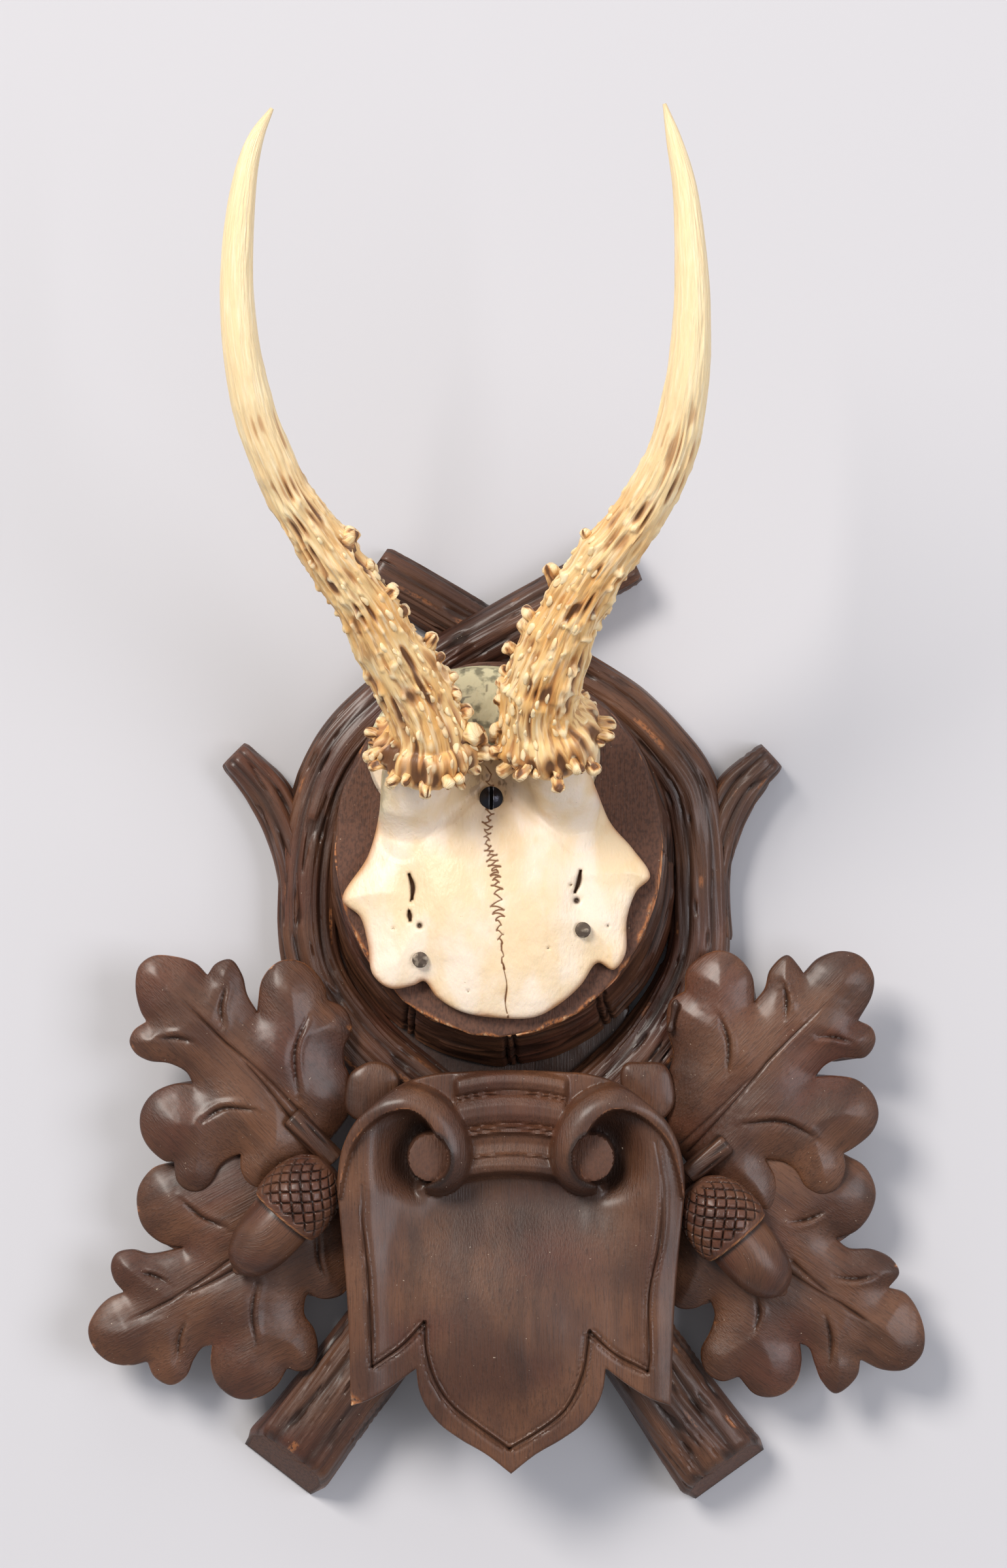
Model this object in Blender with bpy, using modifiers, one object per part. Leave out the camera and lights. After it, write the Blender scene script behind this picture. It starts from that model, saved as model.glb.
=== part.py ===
"""Carved wall plaque that carries a roe buck's skull plate and antlers.

The wall is the plane Y = 0 and the front faces -Y. X runs to the right, Z up, and the origin lies on the flat
back, behind the middle of the cut-log boss. Sizes are in millimetres. A depth is measured from the wall.
"""

import math

import bmesh
import bpy
from mathutils import Vector

# Unit and the clearance between neighbouring pieces
MM = 0.001
CLEARANCE = 0.3

# Cut-log boss
BOSS_HALF_WIDTH = 45.8
BOSS_HALF_HEIGHT = 52.3
BOSS_ASPECT = 1.1419
BOSS_CENTRE = (-1.3, -0.5)
BOSS_DEPTH = 30.0
BOSS_SLOPE = 0.095
BOSS_FLARE = 0.088 * BOSS_HALF_HEIGHT
BOSS_FLARE_DROP = 0.1052 * BOSS_HALF_HEIGHT
BOSS_FOOT_DEPTH = 9.0
BOSS_SIDES = 40

# Branch wreath
LIMB_DEPTH = 15.0
STEM_DEPTH = 20.0
CROSSING_DEPTH = 26.0
FRONT_TOP_DEPTH = 17.0
REAR_TOP_DEPTH = 11.0
STUB_DEPTH = 13.5
LIMB_HALF_WIDTH = 0.1644 * BOSS_HALF_HEIGHT
STEM_HALF_WIDTH = 0.239 * BOSS_HALF_HEIGHT
TOP_HALF_WIDTH = 0.1491 * BOSS_HALF_HEIGHT
STUB_HALF_WIDTH = 0.0956 * BOSS_HALF_HEIGHT
FLUTE_DEPTH = 1.1
LEFT_CUT_SLANT = 9.5
RIGHT_CUT_SLANT = 7.0
STUB_CUT_SLANT = 1.2
SIDE_SHARE = 0.45
FOOT_SHARE = 0.88
FULLNESS = 0.7
ARC_STEPS = 8
BACK_STOCK = 4.0
WEB_DEPTH = 8.0
WALL_REACH = 400.0

# Oak leaves: their backs lie just in front of the wreath
LEAF_BACK = LIMB_DEPTH + 2.6
BACK_STEP = 0.1
LEAF_RIM = 3.0
LOWER_LEAF_DEPTH = 22.0
UPPER_LEAF_DEPTH = 26.5
LEAF_SWELL = 1.8
LEAF_CURL = 3.6
LEAF_VALLEY = 1.4
VALLEY_WIDTH = 4.0
SETTLE_START = 36.0
SETTLE_WIDTH = 30.0
LEAF_STEP = 0.1243 * BOSS_HALF_HEIGHT
LEAF_UNDERCUT = 0.72

# Acorns
ACORN_DEPTH = 27.0
CUP_RADIUS = 10.8
CUP_LENGTH = 19.8
NUT_RADIUS = 8.9
NUT_LENGTH = 20.5
STALK_RADIUS = 3.0
STALK_SINK = 1.5
TURNED_SIDES = 12

# Shield
SHIELD_AXIS = 2.1
SHIELD_TOP = -1.1931
SHIELD_MIDDLE = -52.6
SHIELD_DEPTH = 35.0
SHIELD_BACK = CROSSING_DEPTH + CLEARANCE
SHIELD_RIM = 4.0
SHIELD_EDGE_DROP = 1.2
SHIELD_UNDERCUT = 0.8
SHIELD_BULGE = 4.5
BULGE_HEIGHT = -75.6
BULGE_SIZE = (26.0, 22.0)
SHIELD_HOLLOW = 4.5
HOLLOW_HEIGHT = -34.6
HOLLOW_SIZE = (30.0, 13.0)
BORDER_ROLL = 1.8
BORDER_PLACE = 40.0
BORDER_WIDTH = 5.0
SCROLL_RADIUS = 3.1
SCROLL_SIDES = 6
SCROLL_SINK = 1.0
EYE_RADIUS = 6.2
EYE_OFFSET = 23.7
EYE_RISE = 2.0
EYE_SINK = 1.0
EYE_ROUND = 0.6
EYE_HEIGHT = -25.0
HEAD_HALF_WIDTH = 16.0
HEAD_ARCH = 1.2
HEAD_SINK = 1.5

# Skull plate
BONE_RIM = 4.5
BONE_DOME = 12.5
BONE_CENTRE = (-3.0, -8.0)
BRAINCASE_CENTRE = (-5.5, 26.0)
BRAINCASE_HALF_WIDTH = 33.0
BRAINCASE_HALF_HEIGHT = 25.0
BRAINCASE_RISE = 10.0
BRAINCASE_RIM = 3.0
BRAINCASE_SIDES = 20
CORONET_RADIUS = 16.8
CORONET_RUFFLE = 0.09
ANTLER_SIDES = 12
ANTLER_TIP_RADIUS = 0.4

# Fixings
SCREW_HEAD_RADIUS = 3.3
SCREW_HEAD_HEIGHT = 2.2
SCREW_RADIUS = 1.8
SCREW_GRIP = 14.0
SLOT_WIDTH = 0.9
SLOT_DEPTH = 1.0
NAIL_HEAD_RADIUS = 2.2
NAIL_HEAD_HEIGHT = 1.1
NAIL_RADIUS = 1.0
NAIL_GRIP = 12.0
PIN_SIDES = 12
PIN_WAY_OUT = 12.0
SCREW_PLACE = (-3.4, 13.6)
LEFT_NAIL_PLACE = (-23.1, -31.3)
RIGHT_NAIL_PLACE = (22.0, -23.0)

# Ground between the boss and the crossing of the branches, in shares of the boss's half sizes
WEB_CORNERS = (
    (-0.742, -0.88), (0.786, -0.88), (0.655, -1.262), (0.218, -1.644), (-0.131, -1.644), (-0.568, -1.262),
)

# Small gap that stays open between the boss, the right branch and the shield, in the same shares
PEEPHOLE_PLACE = (0.4934, -1.1931)
PEEPHOLE_RADIUS = 1.6


# Every leaf is a centre and a midrib, in shares of the boss's half sizes, and lobes around the centre. A lobe is
# (angle where it ends, radius of the notch there, angle of its tip, radius of its tip), counter-clockwise, with
# radii in shares of the boss's half height; the last one ends where the first begins.
UPPER_LEFT_LEAF = {
    "centre": (-1.5764, -1.2256),
    "midrib": ((-1.2751, -1.4436), (-2.0546, -0.7553)),
    "lobes": (
        (44, 0.604, 30, 0.639), (82, 0.337, 62, 0.669), (89, 0.392, 85, 0.348), (112, 0.576, 101, 0.635),
        (153, 0.614, 133, 0.818), (175, 0.382, 163, 0.669), (189, 0.363, 183, 0.287), (230, 0.623, 214, 0.677),
        (254, 0.497, 242, 0.727), (265, 0.440, 260, 0.451), (300, 0.574, 280, 0.660), (352, 0.564, 332, 0.631),
    ),
}
LOWER_LEFT_LEAF = {
    "centre": (-1.7314, -2.4379),
    "midrib": ((-1.3537, -2.1033), (-2.3515, -2.5717)),
    "lobes": (
        (139, 0.382, 116, 0.799), (146, 0.430, 142, 0.382), (175.5, 0.541, 162, 0.639), (219.5, 0.526, 198, 0.759),
        (245.5, 0.344, 233, 0.570), (256, 0.277, 250, 0.258), (311, 0.516, 285, 0.577), (344, 0.467, 322, 0.612),
        (361, 0.459, 353, 0.444), (380, 0.688, 367, 0.698), (445, 0.784, 415, 0.803),
    ),
}
UPPER_RIGHT_LEAF = {
    "centre": (1.6419, -1.2256),
    "midrib": ((1.2227, -1.5296), (2.0371, -0.7916)),
    "lobes": (
        (9, 0.382, 4, 0.296), (31, 0.554, 18, 0.608), (71, 0.560, 51, 0.793), (96, 0.436, 82, 0.650),
        (101.5, 0.411, 99, 0.398), (137, 0.631, 118, 0.734), (161, 0.531, 150, 0.646), (190, 0.526, 175, 0.545),
        (240, 0.574, 215, 0.593), (275.5, 0.478, 266, 0.736), (285, 0.507, 281, 0.474), (312, 0.589, 299, 0.734),
        (355.5, 0.363, 331, 0.650), (358.5, 0.277, 357, 0.296),
    ),
}
LOWER_RIGHT_LEAF = {
    "centre": (1.7707, -2.4398),
    "midrib": ((1.3974, -2.065), (2.3341, -2.6176)),
    "lobes": (
        (30, 0.522, 15, 0.604), (44, 0.402, 38, 0.459), (48, 0.497, 46, 0.421), (95, 0.803, 68, 0.834),
        (160, 0.650, 124, 0.956), (186, 0.535, 176, 0.669), (199, 0.424, 192, 0.430), (237, 0.509, 219, 0.604),
        (279, 0.306, 254, 0.562), (290, 0.325, 285, 0.245), (318, 0.499, 300, 0.574), (366, 0.528, 338, 0.769),
    ),
}

# Third, mostly hidden leaf of each spray: centre, in the same shares, and half sizes of its lobe
LEFT_SPARE_LOBE = ((-0.8079, -1.3289), (0.1703, 0.1625))
RIGHT_SPARE_LOBE = ((0.8843, -1.3289), (0.1703, 0.1683))

# Acorns: cup centre, nut tip and the two ends of the stalk, in shares of the boss's half sizes
LEFT_ACORN = {
    "cup": (-1.2424, -1.8795), "tip": (-1.6419, -2.2868), "stalk": ((-1.3013, -1.4493), (-1.0262, -1.6902)),
}
RIGHT_ACORN = {
    "cup": (1.3275, -1.9924), "tip": (1.6943, -2.3748), "stalk": ((1.3712, -1.587), (1.1245, -1.7686)),
}

# Right half of the shield's outline, from its top middle down to its point: (from its axis, from its top)
SHIELD_HALF = (
    (0.0, 0.0), (12.0, -0.4), (22.4, -1.3), (31.2, -4.2), (37.4, -8.6), (43.4, -14.2), (47.0, -21.6),
    (48.4, -30.6), (47.8, -40.6), (46.6, -52.6), (45.5, -66.6), (45.0, -79.6), (44.6, -93.6),
    (38.9, -91.4), (33.3, -88.2), (26.4, -83.0), (25.6, -89.0), (23.6, -93.9), (19.9, -98.6),
    (14.2, -102.8), (6.9, -107.1), (0.0, -112.5),
)

# Left scroll of the shield, from its edge over the top and down to its end: (from its axis, from its top, lift)
LEFT_SCROLL = (
    (-46.0, -27.6, 0.0), (-44.6, -19.6, 1.5), (-41.2, -12.6, 3.2), (-33.4, -7.8, 4.9), (-24.2, -7.2, 5.7),
    (-17.6, -12.0, 6.0), (-13.6, -19.8, 6.0), (-13.6, -26.2, 5.6), (-17.0, -29.6, 4.6),
)

# Mouldings between the scrolls, top to bottom: (height from its top, lift over the shield's general depth)
HEAD_PROFILE = (
    (-0.4, -6.0), (-0.6, 0.8), (-2.6, 3.0), (-5.0, 2.2), (-6.8, 0.8), (-11.2, 2.8), (-15.0, 1.6),
    (-17.0, 3.0), (-19.0, 1.2), (-22.6, 0.6), (-25.2, 2.0), (-28.0, 1.4), (-28.8, -6.0),
)

# Skull plate, down its left side, round the lower edge, up its right side and back over the top
BONE_OUTLINE = (
    (-32.7, 23.6), (-34.5, 10.0), (-37.8, -2.5), (-44.9, -14.8), (-40.0, -19.5), (-37.8, -27.0),
    (-36.4, -35.5), (-31.5, -39.4), (-25.0, -38.5), (-22.1, -37.4), (-18.5, -41.8), (-12.1, -45.7),
    (-3.0, -47.5), (8.5, -47.4), (15.5, -43.8), (21.5, -38.5), (26.2, -32.3), (30.5, -34.3),
    (33.9, -30.0), (34.4, -20.0), (37.0, -12.5), (40.9, -8.3), (36.0, -0.5), (30.0, 6.5),
    (26.1, 15.1), (22.0, 24.0), (14.0, 31.0), (-4.0, 33.0), (-22.0, 31.0),
)

# Antlers from inside the skull to the tip: (x, height, depth, radius)
LEFT_PEDICLE = (
    (-25.5, 12.0, 40.0, 8.0), (-24.0, 18.0, 44.5, 9.0), (-22.6, 23.0, 50.0, 9.3),
    (-22.0, 25.2, 52.4, CORONET_RADIUS * 0.8), (-21.6, 27.2, 54.5, CORONET_RADIUS),
    (-21.5, 29.5, 56.8, CORONET_RADIUS * 0.88), (-21.5, 32.0, 58.7, 11.0),
)
LEFT_BEAM = (
    (-21.6, 34.6, 61.0, 9.8), (-25.8, 44.8, 67.5, 9.4), (-31.5, 54.6, 75.0, 8.6), (-38.4, 67.6, 85.0, 7.4),
    (-45.7, 77.3, 92.5, 6.9), (-51.9, 87.1, 99.0, 6.1), (-56.9, 94.4, 103.5, 5.8), (-60.6, 102.3, 108.0, 5.6),
)
LEFT_SPIKE = (
    (-64.6, 112.6, 113.0, 5.5), (-68.0, 128.0, 118.8, 5.1), (-69.5, 146.0, 123.4, 4.5),
    (-68.7, 163.3, 126.5, 3.9), (-66.4, 178.5, 128.0, 2.9), (-63.9, 186.2, 128.2, 2.0),
    (-60.1, 193.0, 128.2, ANTLER_TIP_RADIUS),
)
RIGHT_PEDICLE = (
    (17.0, 15.0, 40.0, 8.0), (15.6, 21.0, 44.5, 9.0), (14.2, 26.0, 50.0, 9.6),
    (13.6, 28.2, 52.4, CORONET_RADIUS * 0.8), (13.2, 30.4, 54.8, CORONET_RADIUS),
    (12.4, 33.0, 57.4, CORONET_RADIUS * 0.88), (11.2, 36.0, 60.2, 11.4),
)
RIGHT_BEAM = (
    (10.4, 39.7, 63.8, 10.0), (12.3, 48.4, 71.0, 9.6), (15.2, 55.3, 76.0, 8.6), (18.6, 63.5, 81.8, 7.8),
    (24.6, 73.6, 89.6, 7.2), (30.5, 81.5, 95.3, 6.9), (35.6, 88.6, 99.6, 6.6), (40.6, 96.8, 104.6, 6.5),
)
RIGHT_SPIKE = (
    (45.0, 107.0, 110.0, 6.3), (48.2, 124.0, 117.4, 5.8), (49.2, 140.0, 122.0, 5.0),
    (48.6, 157.0, 125.6, 4.2), (47.0, 173.0, 127.6, 3.2), (44.4, 184.4, 128.2, 2.2),
    (41.8, 194.5, 128.2, ANTLER_TIP_RADIUS),
)

# Large pearls: (x, height, depth, reach)
LEFT_KNOBS = (
    (-41.0, 82.5, 96.0, 3.4), (-34.0, 71.0, 88.0, 2.4), (-25.0, 61.0, 80.0, 3.0), (-18.0, 53.0, 73.0, 5.0),
    (-12.5, 43.0, 66.0, 4.2), (-6.5, 29.0, 60.0, 3.6),
)
RIGHT_KNOBS = (
    (22.5, 82.5, 95.0, 3.2), (11.0, 74.0, 86.0, 6.5), (8.0, 61.0, 78.0, 5.0), (2.5, 53.0, 72.0, 4.2),
    (0.0, 43.0, 64.0, 3.4), (1.0, 26.0, 60.0, 2.6),
)
KNOB_SIZE = 3.6

# Branches from the bottom stem to the end of the top branch: (share of the boss's half width, share of the boss's
# half height, half width, depth)
LEFT_LIMB = (
    (1.3231, -3.3308, STEM_HALF_WIDTH + 1.2, STEM_DEPTH - 1.0),
    (1.0917, -3.0497, STEM_HALF_WIDTH, STEM_DEPTH),
    (0.8362, -2.7247, STEM_HALF_WIDTH - 0.6, STEM_DEPTH),
    (0.4367, -2.2371, STEM_HALF_WIDTH - 1.5, CROSSING_DEPTH - 2),
    (0.0437, -1.7973, STEM_HALF_WIDTH - 2.0, CROSSING_DEPTH),
    (-0.4367, -1.4149, LIMB_HALF_WIDTH + 1.9, LIMB_DEPTH + 2.0),
    (-0.8843, -1.0612, LIMB_HALF_WIDTH + 1.4, LIMB_DEPTH),
    (-1.1681, -0.6501, LIMB_HALF_WIDTH + 0.6, LIMB_DEPTH),
    (-1.2074, -0.2294, LIMB_HALF_WIDTH, LIMB_DEPTH),
    (-1.1441, 0.1759, LIMB_HALF_WIDTH + 0.6, LIMB_DEPTH),
    (-0.9956, 0.4895, LIMB_HALF_WIDTH + 1.0, LIMB_DEPTH),
    (-0.6987, 0.7725, LIMB_HALF_WIDTH + 0.8, LIMB_DEPTH),
    (-0.3537, 1.0019, TOP_HALF_WIDTH + 0.2, FRONT_TOP_DEPTH - 1.0),
    (0.0, 1.1816, TOP_HALF_WIDTH, FRONT_TOP_DEPTH),
    (0.393, 1.3728, TOP_HALF_WIDTH, FRONT_TOP_DEPTH),
    (0.786, 1.5641, TOP_HALF_WIDTH, FRONT_TOP_DEPTH - 1.0),
)
RIGHT_LIMB = (
    (-1.2838, -3.2696, STEM_HALF_WIDTH + 1.0, STEM_DEPTH - 1.0),
    (-1.048, -3.0019, STEM_HALF_WIDTH, STEM_DEPTH),
    (-0.7707, -2.6845, STEM_HALF_WIDTH - 0.4, STEM_DEPTH),
    (-0.3712, -2.218, STEM_HALF_WIDTH - 1.0, STEM_DEPTH),
    (0.0437, -1.7591, STEM_HALF_WIDTH - 2.0, STEM_DEPTH),
    (0.524, -1.4149, LIMB_HALF_WIDTH + 1.9, LIMB_DEPTH + 2.0),
    (0.9279, -1.0612, LIMB_HALF_WIDTH + 1.4, LIMB_DEPTH),
    (1.19, -0.6501, LIMB_HALF_WIDTH + 0.6, LIMB_DEPTH),
    (1.2183, -0.2294, LIMB_HALF_WIDTH, LIMB_DEPTH),
    (1.1965, 0.0765, LIMB_HALF_WIDTH, LIMB_DEPTH),
    (1.131, 0.3136, LIMB_HALF_WIDTH + 0.6, LIMB_DEPTH),
    (0.9738, 0.5277, LIMB_HALF_WIDTH, LIMB_DEPTH),
    (0.7555, 0.7228, LIMB_HALF_WIDTH, LIMB_DEPTH - 1.0),
    (0.4694, 0.8987, TOP_HALF_WIDTH + 0.2, LIMB_DEPTH - 2.0),
    (0.1354, 1.044, TOP_HALF_WIDTH + 0.2, REAR_TOP_DEPTH + 1.0),
    (-0.1769, 1.1816, TOP_HALF_WIDTH + 0.2, REAR_TOP_DEPTH),
    (-0.4803, 1.3365, TOP_HALF_WIDTH + 0.2, REAR_TOP_DEPTH),
    (-0.7991, 1.4952, TOP_HALF_WIDTH + 0.2, REAR_TOP_DEPTH),
)
LEFT_STUB = (
    (-1.6659, 0.4837, STUB_HALF_WIDTH - 0.1, STUB_DEPTH - 0.5),
    (-1.5633, 0.3939, STUB_HALF_WIDTH + 0.6, STUB_DEPTH),
    (-1.452, 0.2772, STUB_HALF_WIDTH + 1.5, STUB_DEPTH),
    (-1.345, 0.0765, STUB_HALF_WIDTH + 1.2, STUB_DEPTH),
    (-1.2969, -0.1721, STUB_HALF_WIDTH - 0.2, STUB_DEPTH),
    (-1.2926, -0.5163, STUB_HALF_WIDTH - 0.2, STUB_DEPTH),
)
RIGHT_STUB = (
    (1.6528, 0.478, STUB_HALF_WIDTH - 0.1, STUB_DEPTH - 0.5),
    (1.5502, 0.3939, STUB_HALF_WIDTH + 0.6, STUB_DEPTH),
    (1.441, 0.283, STUB_HALF_WIDTH + 1.5, STUB_DEPTH),
    (1.3362, 0.0765, STUB_HALF_WIDTH + 1.2, STUB_DEPTH),
    (1.3013, -0.1721, STUB_HALF_WIDTH - 0.2, STUB_DEPTH),
    (1.3188, -0.5163, STUB_HALF_WIDTH - 0.2, STUB_DEPTH),
)


def clear_scene():
    """Removes the objects that a new file starts with."""
    for item in list(bpy.data.objects):
        bpy.data.objects.remove(item, do_unlink=True)


def new_collection(name):
    """Adds a collection to the scene."""
    collection = bpy.data.collections.new(name)
    bpy.context.scene.collection.children.link(collection)
    return collection


def material(name, colour, roughness, metallic=0.0):
    """Makes a plain Principled material."""
    made = bpy.data.materials.new(name)
    made.use_nodes = True
    shader = made.node_tree.nodes["Principled BSDF"]
    shader.inputs["Base Color"].default_value = (*colour, 1.0)
    shader.inputs["Roughness"].default_value = roughness
    shader.inputs["Metallic"].default_value = metallic
    return made


def at(x, height, depth):
    """Point at a place on the wall's plane and a depth in front of it."""
    return Vector((x, -depth, height)) * MM


def spread(place):
    """Place round the boss, from shares of its half width and half height."""
    return place[0] * BOSS_HALF_WIDTH, place[1] * BOSS_HALF_HEIGHT


def smooth(stations, steps):
    """Catmull-Rom curve through tuples of numbers, with the given steps between two of them."""
    path = []
    last = len(stations) - 1
    for index in range(last):
        before = Vector(stations[max(index - 1, 0)])
        start = Vector(stations[index])
        end = Vector(stations[index + 1])
        after = Vector(stations[min(index + 2, last)])
        for step in range(steps):
            t = step / steps
            bend = 2 * before - 5 * start + 4 * end - after
            twist = 3 * start - 3 * end + after - before
            path.append(tuple(0.5 * (2 * start + (end - before) * t + bend * t**2 + twist * t**3)))
    path.append(tuple(stations[last]))
    return path


def loft(name, rings, rounded=False):
    """Closed solid over rings of points; a ring of one point is a pole and a rounded one is shaded smooth."""
    shape = bmesh.new()
    rows = [[shape.verts.new(point) for point in ring] for ring in rings]
    for row, following in zip(rows, rows[1:]):
        count = max(len(row), len(following))
        for index in range(count):
            after = (index + 1) % count
            if len(row) == 1:
                corners = (row[0], following[after], following[index])
            elif len(following) == 1:
                corners = (row[index], row[after], following[0])
            else:
                corners = (row[index], row[after], following[after], following[index])
            shape.faces.new(corners)
    for row in (rows[0], rows[-1]):
        if len(row) > 1:
            shape.faces.new(row)
    bmesh.ops.recalc_face_normals(shape, faces=shape.faces)
    for face in shape.faces:
        face.smooth = rounded
    mesh = bpy.data.meshes.new(name)
    shape.to_mesh(mesh)
    shape.free()
    return bpy.data.objects.new(name, mesh)


def turned(name, profile, sides, place, direction):
    """Turned solid: a profile of (radius, height) from its top down to its foot, set along a direction."""
    mesh = bpy.data.meshes.new(name)
    points = [(radius * MM, 0.0, height * MM) for radius, height in profile]
    mesh.from_pydata(points, [(i, i + 1) for i in range(len(points) - 1)], [])
    solid = bpy.data.objects.new(name, mesh)
    screw = solid.modifiers.new("turn", "SCREW")
    screw.axis = "Z"
    screw.steps = sides
    screw.render_steps = sides
    screw.use_merge_vertices = True
    screw.merge_threshold = 0.00001
    solid.location = place
    solid.rotation_euler = direction.to_track_quat("Z", "Y").to_euler()
    return solid


def keep(solid, collection, finish):
    """Puts an object in its collection, with its material."""
    collection.objects.link(solid)
    solid.data.materials.append(finish)
    return solid


def tool(solid, collection):
    """Marks an object as one that only shapes others."""
    collection.objects.link(solid)
    solid.hide_render = True
    solid.display_type = "WIRE"
    return solid


def combine(target, operand, operation):
    """Adds an exact Boolean of another object."""
    modifier = target.modifiers.new(f"{operation.lower()} {operand.name}", "BOOLEAN")
    modifier.operation = operation
    modifier.solver = "EXACT"
    modifier.object = operand


def face_depth(height):
    """Depth of the boss's slanted face."""
    return BOSS_DEPTH - BOSS_SLOPE * height


def branch_section(half_width, depth, stock):
    """Section of a branch: fluted across its front and a little undercut towards the wall."""
    arc = []
    for step in range(ARC_STEPS + 1):
        turn = math.pi * step / ARC_STEPS
        rise = depth * (SIDE_SHARE + (1 - SIDE_SHARE) * max(math.sin(turn), 0.0) ** FULLNESS)
        flute = FLUTE_DEPTH if step % 2 else 0.0
        arc.append((half_width * math.cos(turn), rise - flute))
    foot = half_width * FOOT_SHARE
    return [(foot, -stock), *arc, (-foot, -stock)]


def branch(name, stations, stock, slant=0.0):
    """Fluted half-round branch with some stock behind the wall; its first end is cut on a slant."""
    stations = [(row[0] * BOSS_HALF_HEIGHT / BOSS_ASPECT, row[1] * BOSS_HALF_HEIGHT, *row[2:]) for row in stations]
    rings = []
    for index, (x, height, half_width, depth) in enumerate(stations):
        before = stations[max(index - 1, 0)]
        after = stations[min(index + 1, len(stations) - 1)]
        along = Vector((after[0] - before[0], after[1] - before[1])).normalized()
        across = Vector((along.y, -along.x))
        back_off = slant if index == 0 else 0.0
        ring = []
        for side, rise in branch_section(half_width, depth, stock):
            run = back_off * (1 - rise / depth)
            sideways = x + across.x * side - along.x * run
            ring.append(at(stretched(sideways), height + across.y * side - along.y * run, rise))
        rings.append(ring)
    return loft(name, rings)


def oval(centre, half_width, half_height, sides, depth_at):
    """Oval ring of points; its depth is a function of the height."""
    ring = []
    for step in range(sides):
        turn = 2 * math.pi * step / sides
        x = centre[0] + half_width * math.cos(turn)
        height = centre[1] + half_height * math.sin(turn)
        ring.append(at(x, height, depth_at(height)))
    return ring


def boss():
    """Slice of a log: a flared foot, a bark wall and a slanted flat face."""
    foot = (BOSS_CENTRE[0] + 1.3, BOSS_CENTRE[1] - BOSS_FLARE_DROP)
    wide = (BOSS_HALF_WIDTH + stretched(BOSS_FLARE), BOSS_HALF_HEIGHT + BOSS_FLARE)
    rings = [
        oval(foot, *wide, BOSS_SIDES, lambda height: -BACK_STOCK),
        oval(foot, *wide, BOSS_SIDES, lambda height: BOSS_FOOT_DEPTH),
    ]
    for share in (0.5, 0.92):
        centre = [f + (c - f) * share for f, c in zip(foot, BOSS_CENTRE)]
        size = [w - BOSS_FLARE * share**0.7 for w in wide]
        depth = lambda height, s=share: BOSS_FOOT_DEPTH + (face_depth(height) - BOSS_FOOT_DEPTH) * s
        rings.append(oval(centre, *size, BOSS_SIDES, depth))
    rings.append(oval(BOSS_CENTRE, BOSS_HALF_WIDTH - 0.6, BOSS_HALF_HEIGHT - 0.6, BOSS_SIDES, face_depth))
    return loft("boss", rings)


def web():
    """Thin ground between the boss and the crossing of the branches."""
    depths = (0.5 - BACK_STOCK, WEB_DEPTH)
    return loft("web", [[at(x, height, depth) for x, height in map(spread, WEB_CORNERS)] for depth in depths])


def stretched(width):
    """Sideways distance, drawn out as the boss is wider or narrower for its height."""
    return width * BOSS_ASPECT * BOSS_HALF_WIDTH / BOSS_HALF_HEIGHT


def wall_side():
    """Block behind the wall's plane, which planes the back flat."""
    corners = ((-1, -1), (1, -1), (1, 1), (-1, 1))
    rings = [[at(x * WALL_REACH, height * WALL_REACH, depth) for x, height in corners] for depth in (-40.0, 0.0)]
    return loft("wall_side", rings)


def leaf_outline(leaf):
    """Points round a lobed leaf, each with its share of the way through its lobe."""
    lobes = [
        (end, notch * BOSS_HALF_HEIGHT, tip_angle, tip * BOSS_HALF_HEIGHT)
        for end, notch, tip_angle, tip in leaf["lobes"]
    ]
    angle, notch = lobes[-1][0] - 360.0, lobes[-1][1]
    points = []
    for end, next_notch, tip_angle, tip in lobes:
        edge = math.radians(end - angle) * tip + 2 * abs(tip - (notch + next_notch) / 2)
        count = 2 * max(1, round(edge / (2 * LEAF_STEP)))
        for step in range(count):
            share = 0.5 - 0.5 * math.cos(math.pi * step / count)
            level = notch + (next_notch - notch) * share
            radius = level + (tip - level) * math.sin(math.pi * step / count)
            if share < 0.5:
                degrees = angle + (tip_angle - angle) * 2 * share
            else:
                degrees = tip_angle + (end - tip_angle) * (2 * share - 1)
            turn = math.radians(degrees)
            points.append((stretched(radius * math.cos(turn)), radius * math.sin(turn), share))
        angle, notch = end, next_notch
    return points


def rib_distance(x, height, rib):
    """Distance from a point to a leaf's midrib."""
    start, end = Vector(rib[0]), Vector(rib[1])
    along = end - start
    share = min(max((Vector((x, height)) - start).dot(along) / along.length_squared, 0.0), 1.0)
    return (Vector((x, height)) - start - along * share).length


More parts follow.
